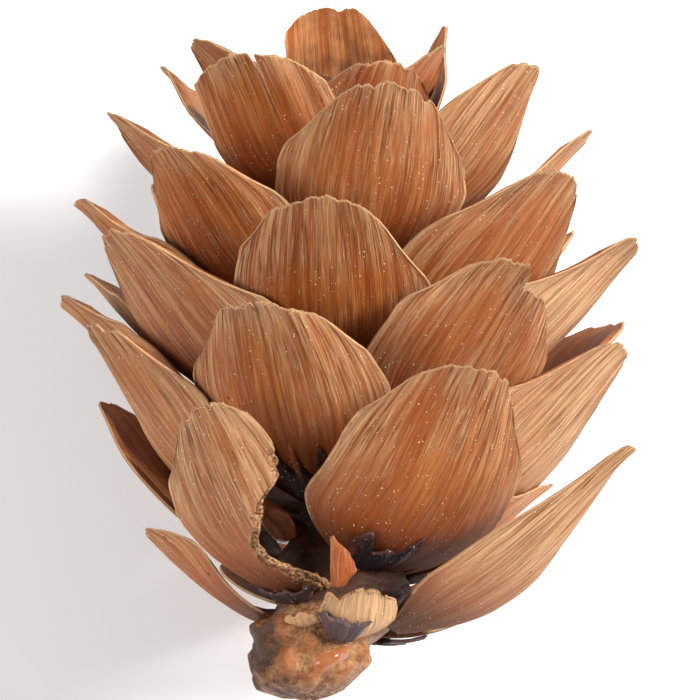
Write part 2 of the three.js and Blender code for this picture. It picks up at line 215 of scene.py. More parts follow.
# Marks in single scales' margins: (kind, place across, width across, depth in millimetres).
# A nick is a rounded dip, a step lowers all that is to the right of it, and a crack is a
# narrow slit whose right side stands a little proud.
MARGIN_MARKS = {
    0: (("nick", -0.65, 0.15, 0.45), ("nick", 0.05, 0.08, 0.25), ("nick", 0.55, 0.1, 0.3)),
    3: (("nick", 0.1, 0.05, 0.5),),
    5: (("nick", -0.2, 0.14, 0.35), ("nick", 0.35, 0.05, 0.3)),
    8: (("nick", 0.3, 0.05, 0.3), ("nick", -0.1, 0.05, 0.2), ("nick", 0.62, 0.06, 0.4)),
    10: (("step", 0.15, 0.02, 0.5),),
    13: (("nick", -0.2, 0.14, 0.55), ("crack", -0.06, 0.02, 0.7)),
    14: (("nick", 0.25, 0.1, 0.35),),
    16: (("crack", -0.01, 0.02, 1.5), ("step", 0.03, 0.02, 1.3), ("nick", -0.25, 0.05, 0.2)),
    21: (("nick", -0.3, 0.06, 0.15), ("nick", 0.12, 0.04, 0.12)),
    29: (("nick", -0.2, 0.05, 0.25), ("nick", 0.2, 0.04, 0.2), ("nick", 0.45, 0.05, 0.3)),
    34: (("crack", 0.18, 0.03, 4.2),),
    38: (("nick", 0.0, 0.12, 0.25),),
    39: (("crack", -0.5, 0.02, 1.2), ("nick", -0.75, 0.08, 0.5)),
    40: (("nick", -0.5, 0.15, 0.6),),
}

# A crack's right side: how far it stands proud in millimetres, where that fades across the scale,
# and how far down it starts, in lengths of the crack
CRACK_PROUD = 0.12
CRACK_FADE = (0.5, 0.05)
CRACK_LENGTH = 1.3

# How pale each scale is, from 0, deep orange brown, to 1 and over, bleached tan
TONES = {
    2: 0.6, 3: 1.25, 5: 0.78, 7: 0.3, 8: 0.38, 10: 0.7, 11: 1.0, 13: 0.42, 14: 0.7, 16: 0.45,
    18: 0.8, 19: 1.25, 21: 0.34, 24: 0.45, 26: 0.25, 29: 0.46, 31: 0.5, 32: 0.72, 34: 0.22,
    35: 0.5, 38: 0.5,
}
USUAL_TONE = 0.45
TONE_SPREAD = 0.2
TONE_CHANGE = 11.7

# The bracts that the scales still have. Scales 2 and 3 have lost theirs, and scales 0 and 5 keep
# a shred. One bract is longer than the rest, and its midrib runs on as a thin awn. Lengths and
# half widths are in millimetres, and the awn's length and width and the grey are shares.
LOST_BRACTS = (2, 3)
CAD_BRACTS = (1, 4, *range(6, 18))
BRACT_GAP = 0.1
BRACT_THICKNESS = 0.2
BRACT_CLAW = 0.5
BRACT_WIDENING = 0.8
BRACT_END = 0.6
BRACT_ROWS = 22
BRACT_COLUMNS = 31
USUAL_BRACT = dict(length=3.6, half=1.5, aside=0, awn=0.12, awn_width=0.12, start=0.5, grey=0.05)
OWN_BRACTS = {
    0: dict(length=2.7, half=1.3, aside=-0.7, start=0.2, grey=0.85),
    5: dict(length=2.2, half=1.6, aside=-0.9, grey=0.5),
    8: dict(length=3.9, half=1.7, aside=-0.5, start=0.0),
    13: dict(length=6.2, half=1.8, awn=0.42, awn_width=0.09),
}

# The fine shape of a bract: its cusps as (place across, width, height), less high on a grey
# shred, the bumps of its end as (number, height, seed), its uneven sides, its midrib, which
# falls towards the end, the creases and curl of its blade and the thinning of its edge
BRACT_CUSPS = ((-0.72, 0.26, 0.36), (0.8, 0.15, 0.36))
CUSP_WEAR = 1.1
BRACT_BUMPS = ((4, 0.06, 700), (13, 0.05, 710))
BRACT_SIDES = 0.05
RIB_FALL = 0.6
RIB_WIDTH = 0.12
RIB_HEIGHT = 0.1
CREASE_HEIGHT = 0.035
CURL_HEIGHT = 0.16
BRACT_EDGE = 0.3
BRACT_EDGE_SHARE = 0.3
BRACT_FOOT = 0.4

# The stalk stub, and above it the dark cushion that the lowest scales grow from, as rings of
# (height, radius, x, y)
STALK_RINGS = (
    (-2.3, 1.5, -2.0, -0.3),
    (-2.0, 2.3, -2.0, -0.3),
    (-1.2, 2.9, -1.8, -0.2),
    (-0.4, 3.1, -1.6, -0.1),
    (0.3, 3.2, -1.55, -0.2),
    (1.0, 3.6, -1.0, 0.0),
    (1.7, 3.35, -0.5, 0.0),
    (2.5, 3.25, 0.3, -0.1),
    (3.4, 3.0, 0.2, 0.0),
    (4.6, 2.95, -0.35, 0.0),
)

# The rows and columns of the stalk's grid, and the heights between which the stub's knobs end
STUB_ROWS = 70
AXIS_ROWS = 100
STALK_COLUMNS = 96
STUB_TOP = (2.2, 1.6)

# Knobs on the stub: (height, angle in degrees from the right, how proud it stands, its width).
# The first two are lumps of resin.
STUB_KNOBS = (
    (-0.6, 302, 0.5, 0.46), (-1.05, 289, 0.62, 0.55), (-1.35, 252, 0.55, 0.36), (-0.7, 246, 0.6, 0.5),
    (-0.2, 268, 0.45, 0.42), (-1.9, 278, 0.4, 0.5), (-0.5, 330, 0.5, 0.5), (-1.5, 318, 0.4, 0.45),
    (-0.1, 218, 0.4, 0.5), (-1.2, 212, 0.5, 0.5), (-1.9, 235, 0.35, 0.4), (-0.6, 185, 0.4, 0.6),
    (-1.6, 165, 0.4, 0.5), (-0.8, 130, 0.5, 0.6), (-1.7, 100, 0.4, 0.6), (-0.3, 70, 0.4, 0.6),
    (-1.4, 45, 0.5, 0.6), (-0.5, 15, 0.4, 0.6), (0.8, 222, 0.7, 0.7), (1.0, 200, 0.5, 0.6),
    (0.5, 245, 0.4, 0.4), (0.6, 290, 0.35, 0.4),
)
RESIN_KNOBS = 2

# The radius that the knobs' widths are measured at, how steep their sides are, how much of their
# height counts, and where the ground between them lies
KNOB_RADIUS = 2.4
KNOB_POWER = 1.5
KNOB_SHARE = 0.8
KNOB_GROUND = -0.3

# The stalk's lumps, outwards and up, its pits and its fine grain, in millimetres
LUMP_HEIGHT = 0.12
LUMP_RISE = 0.1
PIT_DEPTH = 0.12
STUB_GRAIN = 0.02
AXIS_GRAIN = 0.06

# How the stalk's ends close: shares of the end ring, the depth of the hollow in the broken end,
# the height of its lip, the height of the dome at the top and the stretch that narrows below it
END_SHARES = np.array([0.8, 0.55, 0.3, 0.12, 0.01])
END_HOLLOW = 0.35
END_LIP = 0.12
TOP_DOME = 0.25
TOP_TAPER = 4.5

# The small torn pieces round the stalk, in degrees and millimetres. straight is 1 for a straight
# left side, clear is added to the distance from a foot that its colours and the painted shade at
# its foot go by, widths are shares of its half width at LEAF_STATIONS, and rough is how far noise
# changes them.
TORN_PIECES = {
    "torn_sliver": dict(
        azimuth=0, radius=5, height=2.3, open=30, roll=-20, half=0.7, length=2.6, thick=0.3,
        straight=1, clear=4, widths=(0.5, 1, 0.72, 0.3, 0.1), rough=0.08, seed=61,
        slot="scale_wood"),
    "seed": dict(
        azimuth=-41, radius=3.8, height=5.3, open=50, roll=0, half=0.85, length=2.3, thick=0.7,
        straight=0, clear=0, widths=(0.55, 0.95, 1, 0.6, 0.2), rough=0.04, seed=65,
        slot="seed_coat"),
    "basal_chip": dict(
        azimuth=-34, radius=3.5, height=0.9, open=55, roll=0, half=1.1, length=0.75, thick=0.2,
        straight=0, clear=9, widths=(0.85, 1, 0.9, 0.6, 0.25), rough=0.18, seed=69,
        slot="stump_wood"),
}
LEAF_STATIONS = (0, 0.3, 0.6, 0.85, 1)
LEAF_ROWS = 40
LEAF_COLUMNS = 33
LEAF_CROWN = 0.25
LEAF_BUMP = 0.125
LEAF_EDGE_SHARE = 0.25
LEAF_ROUND_SHARE = 0.5
LEAF_TONE = 0.05
LEAF_INSET = 0.1

# How the cone lies
REST_PITCH = 1.64
REST_ROLL = 0.42
REST_SHIFT = (-0.199, -16.675, 13.698)

# The camera, in the standing frame: the angle between its aim and the axis, its roll, how far
# off it stands, the height on the axis that it aims at, and how many pixels it aims beside that
VIEW_ANGLE = 75
VIEW_ROLL = -0.3
VIEW_DISTANCE = 180
VIEW_HEIGHT = 15.4
PIXELS_PER_MM = 19.9
IMAGE_SIZE = 700
VIEW_OFFSET = (8, -2)
SENSOR = 36

# The stage, in metres, and the darker shade of the table's clouds
TABLE_HALF = 3.0
CONE_MIDDLE = (0, 0, 0.012)
KEY_PLACE = (0.30, 0.06, 0.27)
KEY_SIZE = 0.16
FILL_PLACE = (-0.30, -0.05, 0.28)
FILL_SIZE = 0.3
NEAR_CLIP = 0.01
TABLE_SHADE = 0.985

# Linear colours of the small things that lie on the scales and bracts
DRY_RESIN = (0.95, 0.76, 0.46)
BRACT_BLOOM = (0.035, 0.016, 0.018)
HAIR_GREY = (0.13, 0.115, 0.12)
DUST = (0.8, 0.75, 0.7)


def sizes(context):
    return context.scene.larch_cone_sizes


def colours(context):
    return context.scene.larch_cone_colours


def stage_settings(context):
    return context.scene.larch_cone_stage


class ConeSizes(bpy.types.PropertyGroup):
    """Sizes of the fine shape, in metres unless a count."""

    rows: IntProperty(name="Rows", description="Rows of points along a scale", default=40, min=16)
    columns: IntProperty(name="Columns", description="Rows of points across a scale", default=117, min=24)
    ridge: FloatProperty(
        name="Ridge height", description="Height of the ridges on a scale's outer face",
        default=0.075 * MM, unit="LENGTH", precision=5)
    wave: FloatProperty(
        name="Margin wave", description="How far a scale's margin waves in and out",
        default=0.22 * MM, unit="LENGTH", precision=5)
    ragged: FloatProperty(
        name="Ragged margin", description="How uneven a scale's worn margin is",
        default=0.13 * MM, unit="LENGTH", precision=5)
    rim: FloatProperty(
        name="Rim thickness", description="Thickness of a scale just inside its margin",
        default=0.15 * MM, unit="LENGTH", precision=5)


def colour_property(name, description, value):
    return FloatVectorProperty(
        name=name, description=description, default=value, size=3, subtype="COLOR", min=0, max=1)


class ConeColours(bpy.types.PropertyGroup):
    """Linear colours of the cone's finishes."""

    deep: colour_property("Deep", "Valleys between a scale's ridges", (0.17, 0.042, 0.010))
    warm: colour_property("Warm", "Main chestnut colour of a scale", (0.37, 0.090, 0.016))
    tan: colour_property("Tan", "Ridges of a scale", (0.52, 0.182, 0.045))
    bleached: colour_property("Bleached", "Weathered ridges and outer scales", (0.66, 0.40, 0.210))
    red: colour_property("Red", "Reddish patches", (0.28, 0.055, 0.013))
    rim: colour_property("Rim", "Worn margin of a scale", (0.72, 0.44, 0.23))
    # Foot is painted shade: the dark of a scale near its claw, where neighbouring scales cover it. It also
    # colours rare dark stains and mottles the axis.
    foot: colour_property("Foot", "A scale near its claw", (0.060, 0.016, 0.006))
    inner: colour_property("Inner", "Inner face of a scale", (0.33, 0.092, 0.022))
    inner_pale: colour_property("Inner pale", "Streaks of the inner face", (0.56, 0.26, 0.105))
    pith: colour_property("Pith", "Crumbly torn edge", (0.58, 0.34, 0.17))
    bract: colour_property("Bract", "Body of a bract", (0.016, 0.009, 0.010))
    bract_edge: colour_property("Bract edge", "Cusps of a bract", (0.075, 0.022, 0.018))
    bract_grey: colour_property("Grey bract", "Shred of an old bract", (0.105, 0.066, 0.062))
    bark: colour_property("Bark", "Stub of the stalk", (0.22, 0.075, 0.028))
    # Dark mottling of the stub, also used as painted shade between its knobs and on its left side.
    bark_mottle_and_shade: colour_property("Dark bark", "Dark hollows of the stub", (0.045, 0.022, 0.012))
    bark_pale: colour_property("Pale bark", "Tan rim of the stub", (0.40, 0.21, 0.085))
    resin: colour_property("Resin", "Glossy orange lumps of the stub", (0.32, 0.105, 0.038))
    seed: colour_property("Seed", "Seed coat", (0.20, 0.045, 0.010))
    core: colour_property("Core", "Axis between the scales", (0.045, 0.016, 0.007))


class StageSettings(bpy.types.PropertyGroup):
    """Floor and light."""

    floor: colour_property("Floor", "Colour of the table", (0.93, 0.93, 0.93))
    sky: FloatProperty(name="Sky", description="Strength of the even light", default=0.29)
    key: FloatProperty(name="Key", description="Power of the main soft light", default=2.85)
    fill: FloatProperty(name="Fill", description="Power of the weaker soft light", default=1.3)


# Smooth random numbers, the same on each run. What a call multiplies x or y by is how many bumps
# there are, and what it adds only picks another stretch of them.

NOISE_LINE_COUNT = 512
NOISE_FIELD_COUNT = 128


def noise_line(x, seed):
    """Random heights from -1 to 1 at the whole numbers of x, joined by eased steps."""
    count = NOISE_LINE_COUNT
    heights = np.random.default_rng(seed).uniform(-1, 1, count)
    low = np.floor(x).astype(int)
    share = x - low
    share = share * share * (3 - 2 * share)
    return heights[low % count] * (1 - share) + heights[(low + 1) % count] * share


def noise_field(x, y, seed):
    """Random heights from -1 to 1 at the crossings of a unit grid, joined by eased steps."""
    count = NOISE_FIELD_COUNT
    heights = np.random.default_rng(seed).uniform(-1, 1, (count, count))
    column = np.floor(x).astype(int)
    row = np.floor(y).astype(int)
    u = x - column
    v = y - row
    u = u * u * (3 - 2 * u)
    v = v * v * (3 - 2 * v)
    a = heights[row % count, column % count]
    b = heights[row % count, (column + 1) % count]
    c = heights[(row + 1) % count, column % count]
    d = heights[(row + 1) % count, (column + 1) % count]
    return (a * (1 - u) + b * u) * (1 - v) + (c * (1 - u) + d * u) * v


def eased(x, low, high):
    """0 below low, 1 above high, and a smooth rise between. With low above high it falls."""
    t = np.clip((x - low) / (high - low), 0, 1)
    return t * t * (3 - 2 * t)


# The rule of the cone


def curve(weights, x):
    """A smooth curve from low to high, for x from 0 to 1, drawn towards the middle weight on its way."""
    low, middle, high = weights
    return low * (1 - x) ** 2 + 2 * middle * x * (1 - x) + high * x * x


def axis_radius(height):
    taper = np.clip(height / AXIS_TAPER_HEIGHT, 0, 1)
    return AXIS_RADIUS_LOW + (AXIS_RADIUS_HIGH - AXIS_RADIUS_LOW) * taper


def own_way(n):
    """How a scale differs from the rule. One with no entry sways a little, as a sine of its number."""
    if n in OWN_WAYS:
        return OWN_WAYS[n]
    return {name: size * math.sin(change * n) for name, (size, change) in FAR_WAYS.items()}


def standing(azimuth, radius, height, opening, roll):
    """Where a leaf that grows from the axis has its foot, and its directions along, across and out."""
    out = np.array([math.sin(azimuth), -math.cos(azimuth), 0])
    up = np.array([0, 0, 1.0])
    side = np.array([math.cos(azimuth), math.sin(azimuth), 0])
    face = math.cos(opening) * out - math.sin(opening) * up
    return {
        "foot": out * radius + up * height,
        "along": math.sin(opening) * out + math.cos(opening) * up,
        "across": math.cos(roll) * side + math.sin(roll) * face,
        "outward": math.cos(roll) * face - math.sin(roll) * side,
    }


def scale_at(n):
    """The rule and the scale's own way together: its sizes, its place and its directions."""
    own = own_way(n)
    x = n / SPIRAL_TOP_SCALE
    scale = {**USUAL, **own, "number": n}
    azimuth = math.radians(FRONT_AZIMUTH + TURN_PER_SCALE * (n - FRONT_SCALE) + own.get("turn", 0))
    height = SPIRAL_START + SPIRAL_RISE * x - SPIRAL_SAG * x * (1 - x) + own.get("rise", 0)
    opening = math.radians(curve(OPENING, x) + own.get("open", 0))
    scale["length"] = curve(SCALE_LENGTH, x) + own.get("long", 0)
    scale["half"] = (curve(SCALE_WIDTH, x) + own.get("wide", 0)) / 2
    scale.update(standing(azimuth, axis_radius(height), height, opening, math.radians(scale["roll"])))
    return scale


def breadth(scale, s):
    """Half the width as a share of the widest: a sine's rise from the claw to the waist, then a fall
    with the square of the way from the waist to the top."""
    waist = scale["waist"]
    grown = np.sin(np.clip(s / waist, 0, 1) * math.pi / 2) ** CLAW_POWER
    rising = scale["claw"] + (1 - scale["claw"]) * grown
    falling = 1 - (1 - scale["top"]) * (np.clip(s - waist, 0, 1) / (1 - waist)) ** 2
    return np.where(s < waist, rising, falling)


def reach_across(scale, s, across):
    """Where a line lies across the scale. On the torn scale the lines crowd to the left of its tear."""
    if not scale["torn"]:
        return across + 0 * s
    jagged = sum(depth * noise_line(s * jags, seed) for jags, depth, seed in TEAR_JAGS)
    edge = np.interp(s, TEAR_SHARES, TEAR_REACHES) + jagged * eased(s, *TEAR_END)
    return -1 + (across + 1) / 2 * (edge + 1)


def shoulder_drop(scale, v):
    """How much lower than its middle the scale ends here, as a share of its length."""
    return np.where(v < 0, scale["left"], scale["right"]) * np.abs(v) ** SHOULDER_POWER


def line_end(scale, across):
    """How far along the scale a line runs before the narrowing top and the sloping shoulder would fold
    the outline back over itself, found by halving."""
    drop = shoulder_drop(scale, reach_across(scale, np.ones_like(across), across))
    waist = scale["waist"]

    def spread(s):
        narrowing = -2 * (1 - scale["top"]) * (s - waist) / (1 - waist) ** 2
        return breadth(scale, s) * (1 - 3 * drop * s * s) + SHOULDER_POWER * drop * s ** 3 * narrowing

    still_open = np.full_like(across, waist)
    shut = np.ones_like(across)
    whole = spread(shut) > LEAST_SPREAD
    for _ in range(HALVINGS):
        middle = (still_open + shut) / 2
        opens = spread(middle) > LEAST_SPREAD
        still_open = np.where(opens, middle, still_open)
        shut = np.where(opens, shut, middle)
    return np.where(whole, 1, still_open)


def margin_offset(scale, across, ragged):
    """How far the margin stands out past the smooth outline, in millimetres: three sizes of unevenness
    and the scale's own nicks, steps and cracks."""
    n = scale["number"]
    span = across * min(1, scale["half"] / BROAD_HALF)
    offset = ragged * sum(
        share * noise_line(span * bumps + shift * n, seed + n) for bumps, shift, share, seed in MARGIN_BUMPS)
    for kind, place, width, depth in MARGIN_MARKS.get(n, ()):
        away = (across - place) / width
        cut = eased(away, -1, 1) if kind == "step" else np.exp(-away ** 2)
        offset = offset - depth * cut
    return offset


def crack_lift(scale, across, share):
    """How far the right side of a crack stands proud, in millimetres. It fades to the right and
    downwards."""
    lift = 0 * across * share
    for kind, place, width, depth in MARGIN_MARKS.get(scale["number"], ()):
        if kind == "crack":
            away = across - place
            beside = eased(away, 0, width) * eased(away, *CRACK_FADE)
            start = 1 - CRACK_LENGTH * depth / scale["length"]
            lift = lift + CRACK_PROUD * beside * eased(share, start, 1)
    return lift


def bend(scale, x, y, lift):
    """Bends the flat outline: a sine bow along it, a flare with a high power of the way out at the margin,
    and a cup that falls off with the square of the way across."""
    share = np.clip(y / scale["length"], 0, 1)
    bow = scale["bow"] * scale["length"] * np.sin(math.pi * share ** BOW_POWER)
    flare = scale["flare"] * scale["length"] * share ** FLARE_POWER
    depth = bow + flare - x * x / (2 * scale["cup"]) + lift
    return (
        scale["foot"]
        + y[..., None] * scale["along"]
        + x[..., None] * scale["across"]
        + depth[..., None] * scale["outward"]
    )


# Meshes


EVEN_REACH = 0.945
RIM_STEPS = (0.962, 0.975, 0.985, 0.992, 0.997, 1)


def shares_to_margin(count):
    """Shares from 0 to 1 in even steps that close up before 1."""
    even = np.linspace(0, EVEN_REACH, count - len(RIM_STEPS))
    return np.concatenate([even, RIM_STEPS])


def shares_across(count):
    """Places from -1 to 1 in even steps that close up before both ends."""
    even = np.linspace(-EVEN_REACH, EVEN_REACH, count - 2 * len(RIM_STEPS))
    rim = np.array(RIM_STEPS)
    return np.concatenate([-rim[::-1], even, rim])


def grid_faces(rows, columns, start, turned):
    """The quads of a grid of points numbered row by row."""
    index = start + np.arange(rows * columns).reshape(rows, columns)
    a = index[:-1, :-1]
    b = index[:-1, 1:]
    c = index[1:, 1:]
    d = index[1:, :-1]
    corners = (a, d, c, b) if turned else (a, b, c, d)
    return np.stack(corners, -1).reshape(-1, 4)


def sheet_faces(rows, columns):
    """The quads of a closed sheet: an outer grid, an inner grid turned round, and a strip round the rim."""
    index = np.arange(rows * columns).reshape(rows, columns)
    rim = np.concatenate([index[0, :-1], index[:-1, -1], index[-1, :0:-1], index[:0:-1, 0]])
    after = np.roll(rim, -1)
    inner = rows * columns
    strip = np.stack([rim, rim + inner, after + inner, after], -1)
    outer_faces = grid_faces(rows, columns, 0, False)
    inner_faces = grid_faces(rows, columns, inner, True)
    return np.concatenate([outer_faces, inner_faces, strip])


def closed_sheet(outer, inner, **marks):
    """Two grids of points as one closed sheet: its points, quads and marks. A mark is three numbers
    or arrays, and a pair in place of one holds the outer face's and the inner face's."""
    shape = outer.shape[:2]

    def column(value):
        faces = value if isinstance(value, tuple) else (value, value)
        return np.concatenate([np.broadcast_to(face, shape).ravel() for face in faces])

    points = np.concatenate([outer.reshape(-1, 3), inner.reshape(-1, 3)])
    columns = {name: np.stack([column(value) for value in values], -1) for name, values in marks.items()}
    return points, sheet_faces(*shape), columns


def lay_down(points):
    """Standing millimetres to metres in the frame: rolled about the axis, tipped over and moved."""
    roll = Matrix.Rotation(math.radians(REST_ROLL), 3, "Z")
    tip = Matrix.Rotation(math.radians(REST_PITCH - 90), 3, "X")
    return (points @ np.array(tip @ roll).T + np.array(REST_SHIFT)) * MM


def add_piece(context, name, sheet, slot, *replaced):
    """Puts a closed mesh of quads into the scene, in its slot's finish, and hides the CAD nodes that it
    stands for. Its marks are three numbers at each point."""
    points, faces, marks = sheet
    mesh = bpy.data.meshes.new(name)
    mesh.vertices.add(len(points))
    mesh.vertices.foreach_set("co", lay_down(points).astype(np.float32).ravel())
    mesh.loops.add(faces.size)
    mesh.loops.foreach_set("vertex_index", faces.astype(np.int32).ravel())
    mesh.polygons.add(len(faces))
    mesh.polygons.foreach_set("loop_start", np.arange(0, faces.size, 4, dtype=np.int32))
    mesh.polygons.foreach_set("use_smooth", np.ones(len(faces), dtype=bool))
    for label, values in marks.items():
        attribute = mesh.attributes.new(label, "FLOAT_VECTOR", "POINT")
        attribute.data.foreach_set("vector", values.astype(np.float32).ravel())
    mesh.update(calc_edges=True)
    mesh.validate()
    mesh.materials.append(finish_of(context, slot))
    piece = bpy.data.objects.new(name, mesh)
    context.scene.collection.objects.link(piece)
    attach(piece, "root")
    if replaced:
        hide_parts(*replaced)
    return piece


# The shapes of the pieces


def tone_of(n):
    return TONES.get(n, USUAL_TONE + TONE_SPREAD * math.sin(TONE_CHANGE * n))


def flat_scale(scale, share, across, ragged):
    """Where each point of a flat scale lies: its share of the length and of the width, the half width
    there, and its x and y in millimetres. The margin is ragged and the sides are a little uneven."""
    n = scale["number"]
    length = scale["length"]
    reach = margin_offset(scale, across, ragged) / length
    s = share * line_end(scale, across) * (1 + reach * share ** 3)
    v = reach_across(scale, s, across)
    half = scale["half"] * breadth(scale, s)
    bumps = noise_field(s * SIDE_BUMPS, np.sign(across) + 5, 300 + n)
    uneven = 1 + SIDE_DEPTH * bumps * np.abs(across) ** SIDE_POWER
    x = v * half * uneven + scale["lean"] * length * s * s
    y = length * s * (1 - shoulder_drop(scale, v) * s * s)
    return s, v, half, x, y


def edge_distance(scale, share, across, s, half):
    """How far a point is from the margin, in millimetres. The sides of the claw aren't a margin."""
    to_top = (1 - share) * line_end(scale, across) * scale["length"]
    to_side = (1 - np.abs(across)) * half
    return np.minimum(to_top, to_side + CLAW_CLEAR * eased(s, *CLAW_SIDES))


def ridge_heights(scale, v, y):
    """Ridges that fan out with the lines of the scale, from -1 to 1: wide and narrow ones together on
    the outer face, and low wide ones on the inner face, which is marked with them but not raised."""
    lines = v * scale["half"]
    wide, narrow = (
        noise_field(lines / width + 9, y / length, seed + scale["number"])
        for (width, length), seed in ((WIDE_RIDGES, 400), (NARROW_RIDGES, 500)))
    return WIDE_SHARE * wide + (1 - WIDE_SHARE) * narrow, INNER_SHARE * wide


def tear_crumbs(scale, across, s, half, x, y):
    """1 on the crumbly strip along the tear and 0 away from it, and the strip's lift: grains that lie a
    little deeper than the face."""
    if not scale["torn"]:
        return np.zeros_like(x), 0
    to_tear = (1 - across) * half * (reach_across(scale, s, 1) + 1) / 2
    width = CRUMB_WIDTH + CRUMB_LOW_WIDTH * eased(s, *CRUMB_LOW) + CRUMB_WANDER * noise_line(s * 23, 35)
    crumbs = eased(to_tear, width, width - CRUMB_BORDER) * eased(s, *CRUMB_END)
    grain = sum(noise_field(x / size, y / size, seed) for size, seed in CRUMB_SIZES)
    return crumbs, crumbs * (CRUMB_HEIGHT * grain - CRUMB_DEPTH)


def scale_thickness(s, v, edge, rim):
    """Thick at the claw, thin at the margin and rounded off there, less two bell-shaped seed hollows."""
    claw = CLAW_THICKNESS + (BLADE_THICKNESS - CLAW_THICKNESS) * np.clip(s / THICK_CLAW_SHARE, 0, 1)
    blade = rim + (claw - rim) * eased(edge, *THINNING)
    rounded = np.sqrt(1 - (1 - np.clip(edge / ROUND_EDGE, 0, 1)) ** 2)
    across = (np.abs(v) - HOLLOW_ACROSS[0]) / HOLLOW_ACROSS[1]
    along = (s - HOLLOW_ALONG[0]) / HOLLOW_ALONG[1]
    hollow = HOLLOW_DEPTH * np.exp(-across ** 2 - along ** 2)
    return blade * (EDGE_SHARE + (1 - EDGE_SHARE) * rounded) - hollow


def inward_directions(scale, s):
    """Which way the inner face lies: up the axis at the claw, and square to the scale further out."""
    square = np.clip(s / UPRIGHT_CLAW_SHARE, 0, 1)[..., None]
    inward = (1 - square) * np.array([0, 0, 1.0]) - square * scale["outward"]
    return inward / np.linalg.norm(inward, axis=-1, keepdims=True)


def scale_sheet(scale, fine):
    """The two faces of a scale and the marks that its finish reads.

    Outer face: the flat outline of the rule, with a ragged margin, bent, and lifted by ridges that fan
    with the lines of the scale and by a wave that grows towards the margin. Inner face: the outer one
    without its ridges, set in by a thickness that thins to a rounded rim, with two seed hollows."""
    n = scale["number"]
    share = shares_to_margin(fine.rows)[:, None]
    across = shares_across(fine.columns)[None, :]
    s, v, half, x, y = flat_scale(scale, share, across, fine.ragged / MM)
    edge = edge_distance(scale, share, across, s, half)
    ridge, inner_ridge = ridge_heights(scale, v, y)
    crumbs, crumb_lift = tear_crumbs(scale, across, s, half, x, y)

    wave = fine.wave / MM * noise_field(across * WAVES[0] + 7, s * WAVES[1], 600 + n)
    swell = SWELL_HEIGHT * noise_field(across * SWELLS[0] + 4, s * SWELLS[1] + 2, 650 + n)
    lift = wave * eased(s, WAVE_START, 1) + swell + crack_lift(scale, across, share) + crumb_lift
    strength = (RIDGES_AT_CLAW + (1 - RIDGES_AT_CLAW) * s) * eased(edge, 0, RIDGE_FREE_EDGE)
    if n == 0:
        strength = strength * STUMP_RIDGES
    outer = bend(scale, x, y, lift + fine.ridge / MM * ridge * strength)
    thick = scale_thickness(s, v, edge, fine.rim / MM)
    inner = bend(scale, x, y, lift) + thick[..., None] * inward_directions(scale, s)

    # The stump's distance from the foot is pushed out so that no painted foot shade falls on it.
    from_foot = y
    if n == 0:
        crumbs = STUMP_CRUMBS * eased(edge, *STUMP_CRUMB_EDGE)
        from_foot = y + STUMP_CLEAR_OF_FOOT
    return closed_sheet(
        outer, inner, leaf=(v * scale["half"], from_foot, (n, n + 50)),
        state=(edge, (1, 0), tone_of(n)), shape=((ridge, inner_ridge), s, crumbs))


def bract_sheet(scale):
    """A bract on the claw's outer face: a shield that widens with the way out, whose end is a smooth line
    with a cusp near each side, a dip between them and a midrib that runs on as a point."""
    n = scale["number"]
    own = {**USUAL_BRACT, **OWN_BRACTS.get(n, {})}
    s = np.linspace(0, 1, BRACT_ROWS)[:, None]
    v = np.linspace(-1, 1, BRACT_COLUMNS)[None, :]
    uneven = sum(height * noise_line(v * bumps + n, seed + n) for bumps, height, seed in BRACT_BUMPS)
    cusps = sum(height * np.exp(-((v - place) / width) ** 2) for place, width, height in BRACT_CUSPS)
    awn = own["awn"] * np.exp(-(v / own["awn_width"]) ** 2)
    end = BRACT_END + cusps * (CUSP_WEAR - own["grey"]) + awn + uneven
    widening = BRACT_CLAW + (1 - BRACT_CLAW) * s ** BRACT_WIDENING
    x = own["aside"] + v * own["half"] * widening * (1 + BRACT_SIDES * noise_line(s * 5, 720 + n))
    y = own["start"] + (own["length"] - own["start"]) * s * (1 - s * (1 - end))
    rib = np.exp(-(v / RIB_WIDTH) ** 2)
    tan_rib = rib * s * (own["awn"] > USUAL_BRACT["awn"])
    crease = CREASE_HEIGHT * noise_field(v * 7 + 8, s * 2, 740 + n)
    curl = CURL_HEIGHT * s ** 3 * noise_line(v * 2 + 3, 760 + n)
    edge = np.minimum((1 - s) * (y + BRACT_FOOT), (1 - np.abs(v)) * own["half"])
    thick = BRACT_THICKNESS * (BRACT_EDGE_SHARE + (1 - BRACT_EDGE_SHARE) * eased(edge, 0, BRACT_EDGE))
    low = BRACT_GAP + curl
    outer = bend(scale, x, y, low + thick + RIB_HEIGHT * rib * (1 - RIB_FALL * s) + crease)
    inner = bend(scale, x, y, low + 0 * x)
    return closed_sheet(outer, inner, leaf=(x, y, n), state=(edge, tan_rib, own["grey"]))


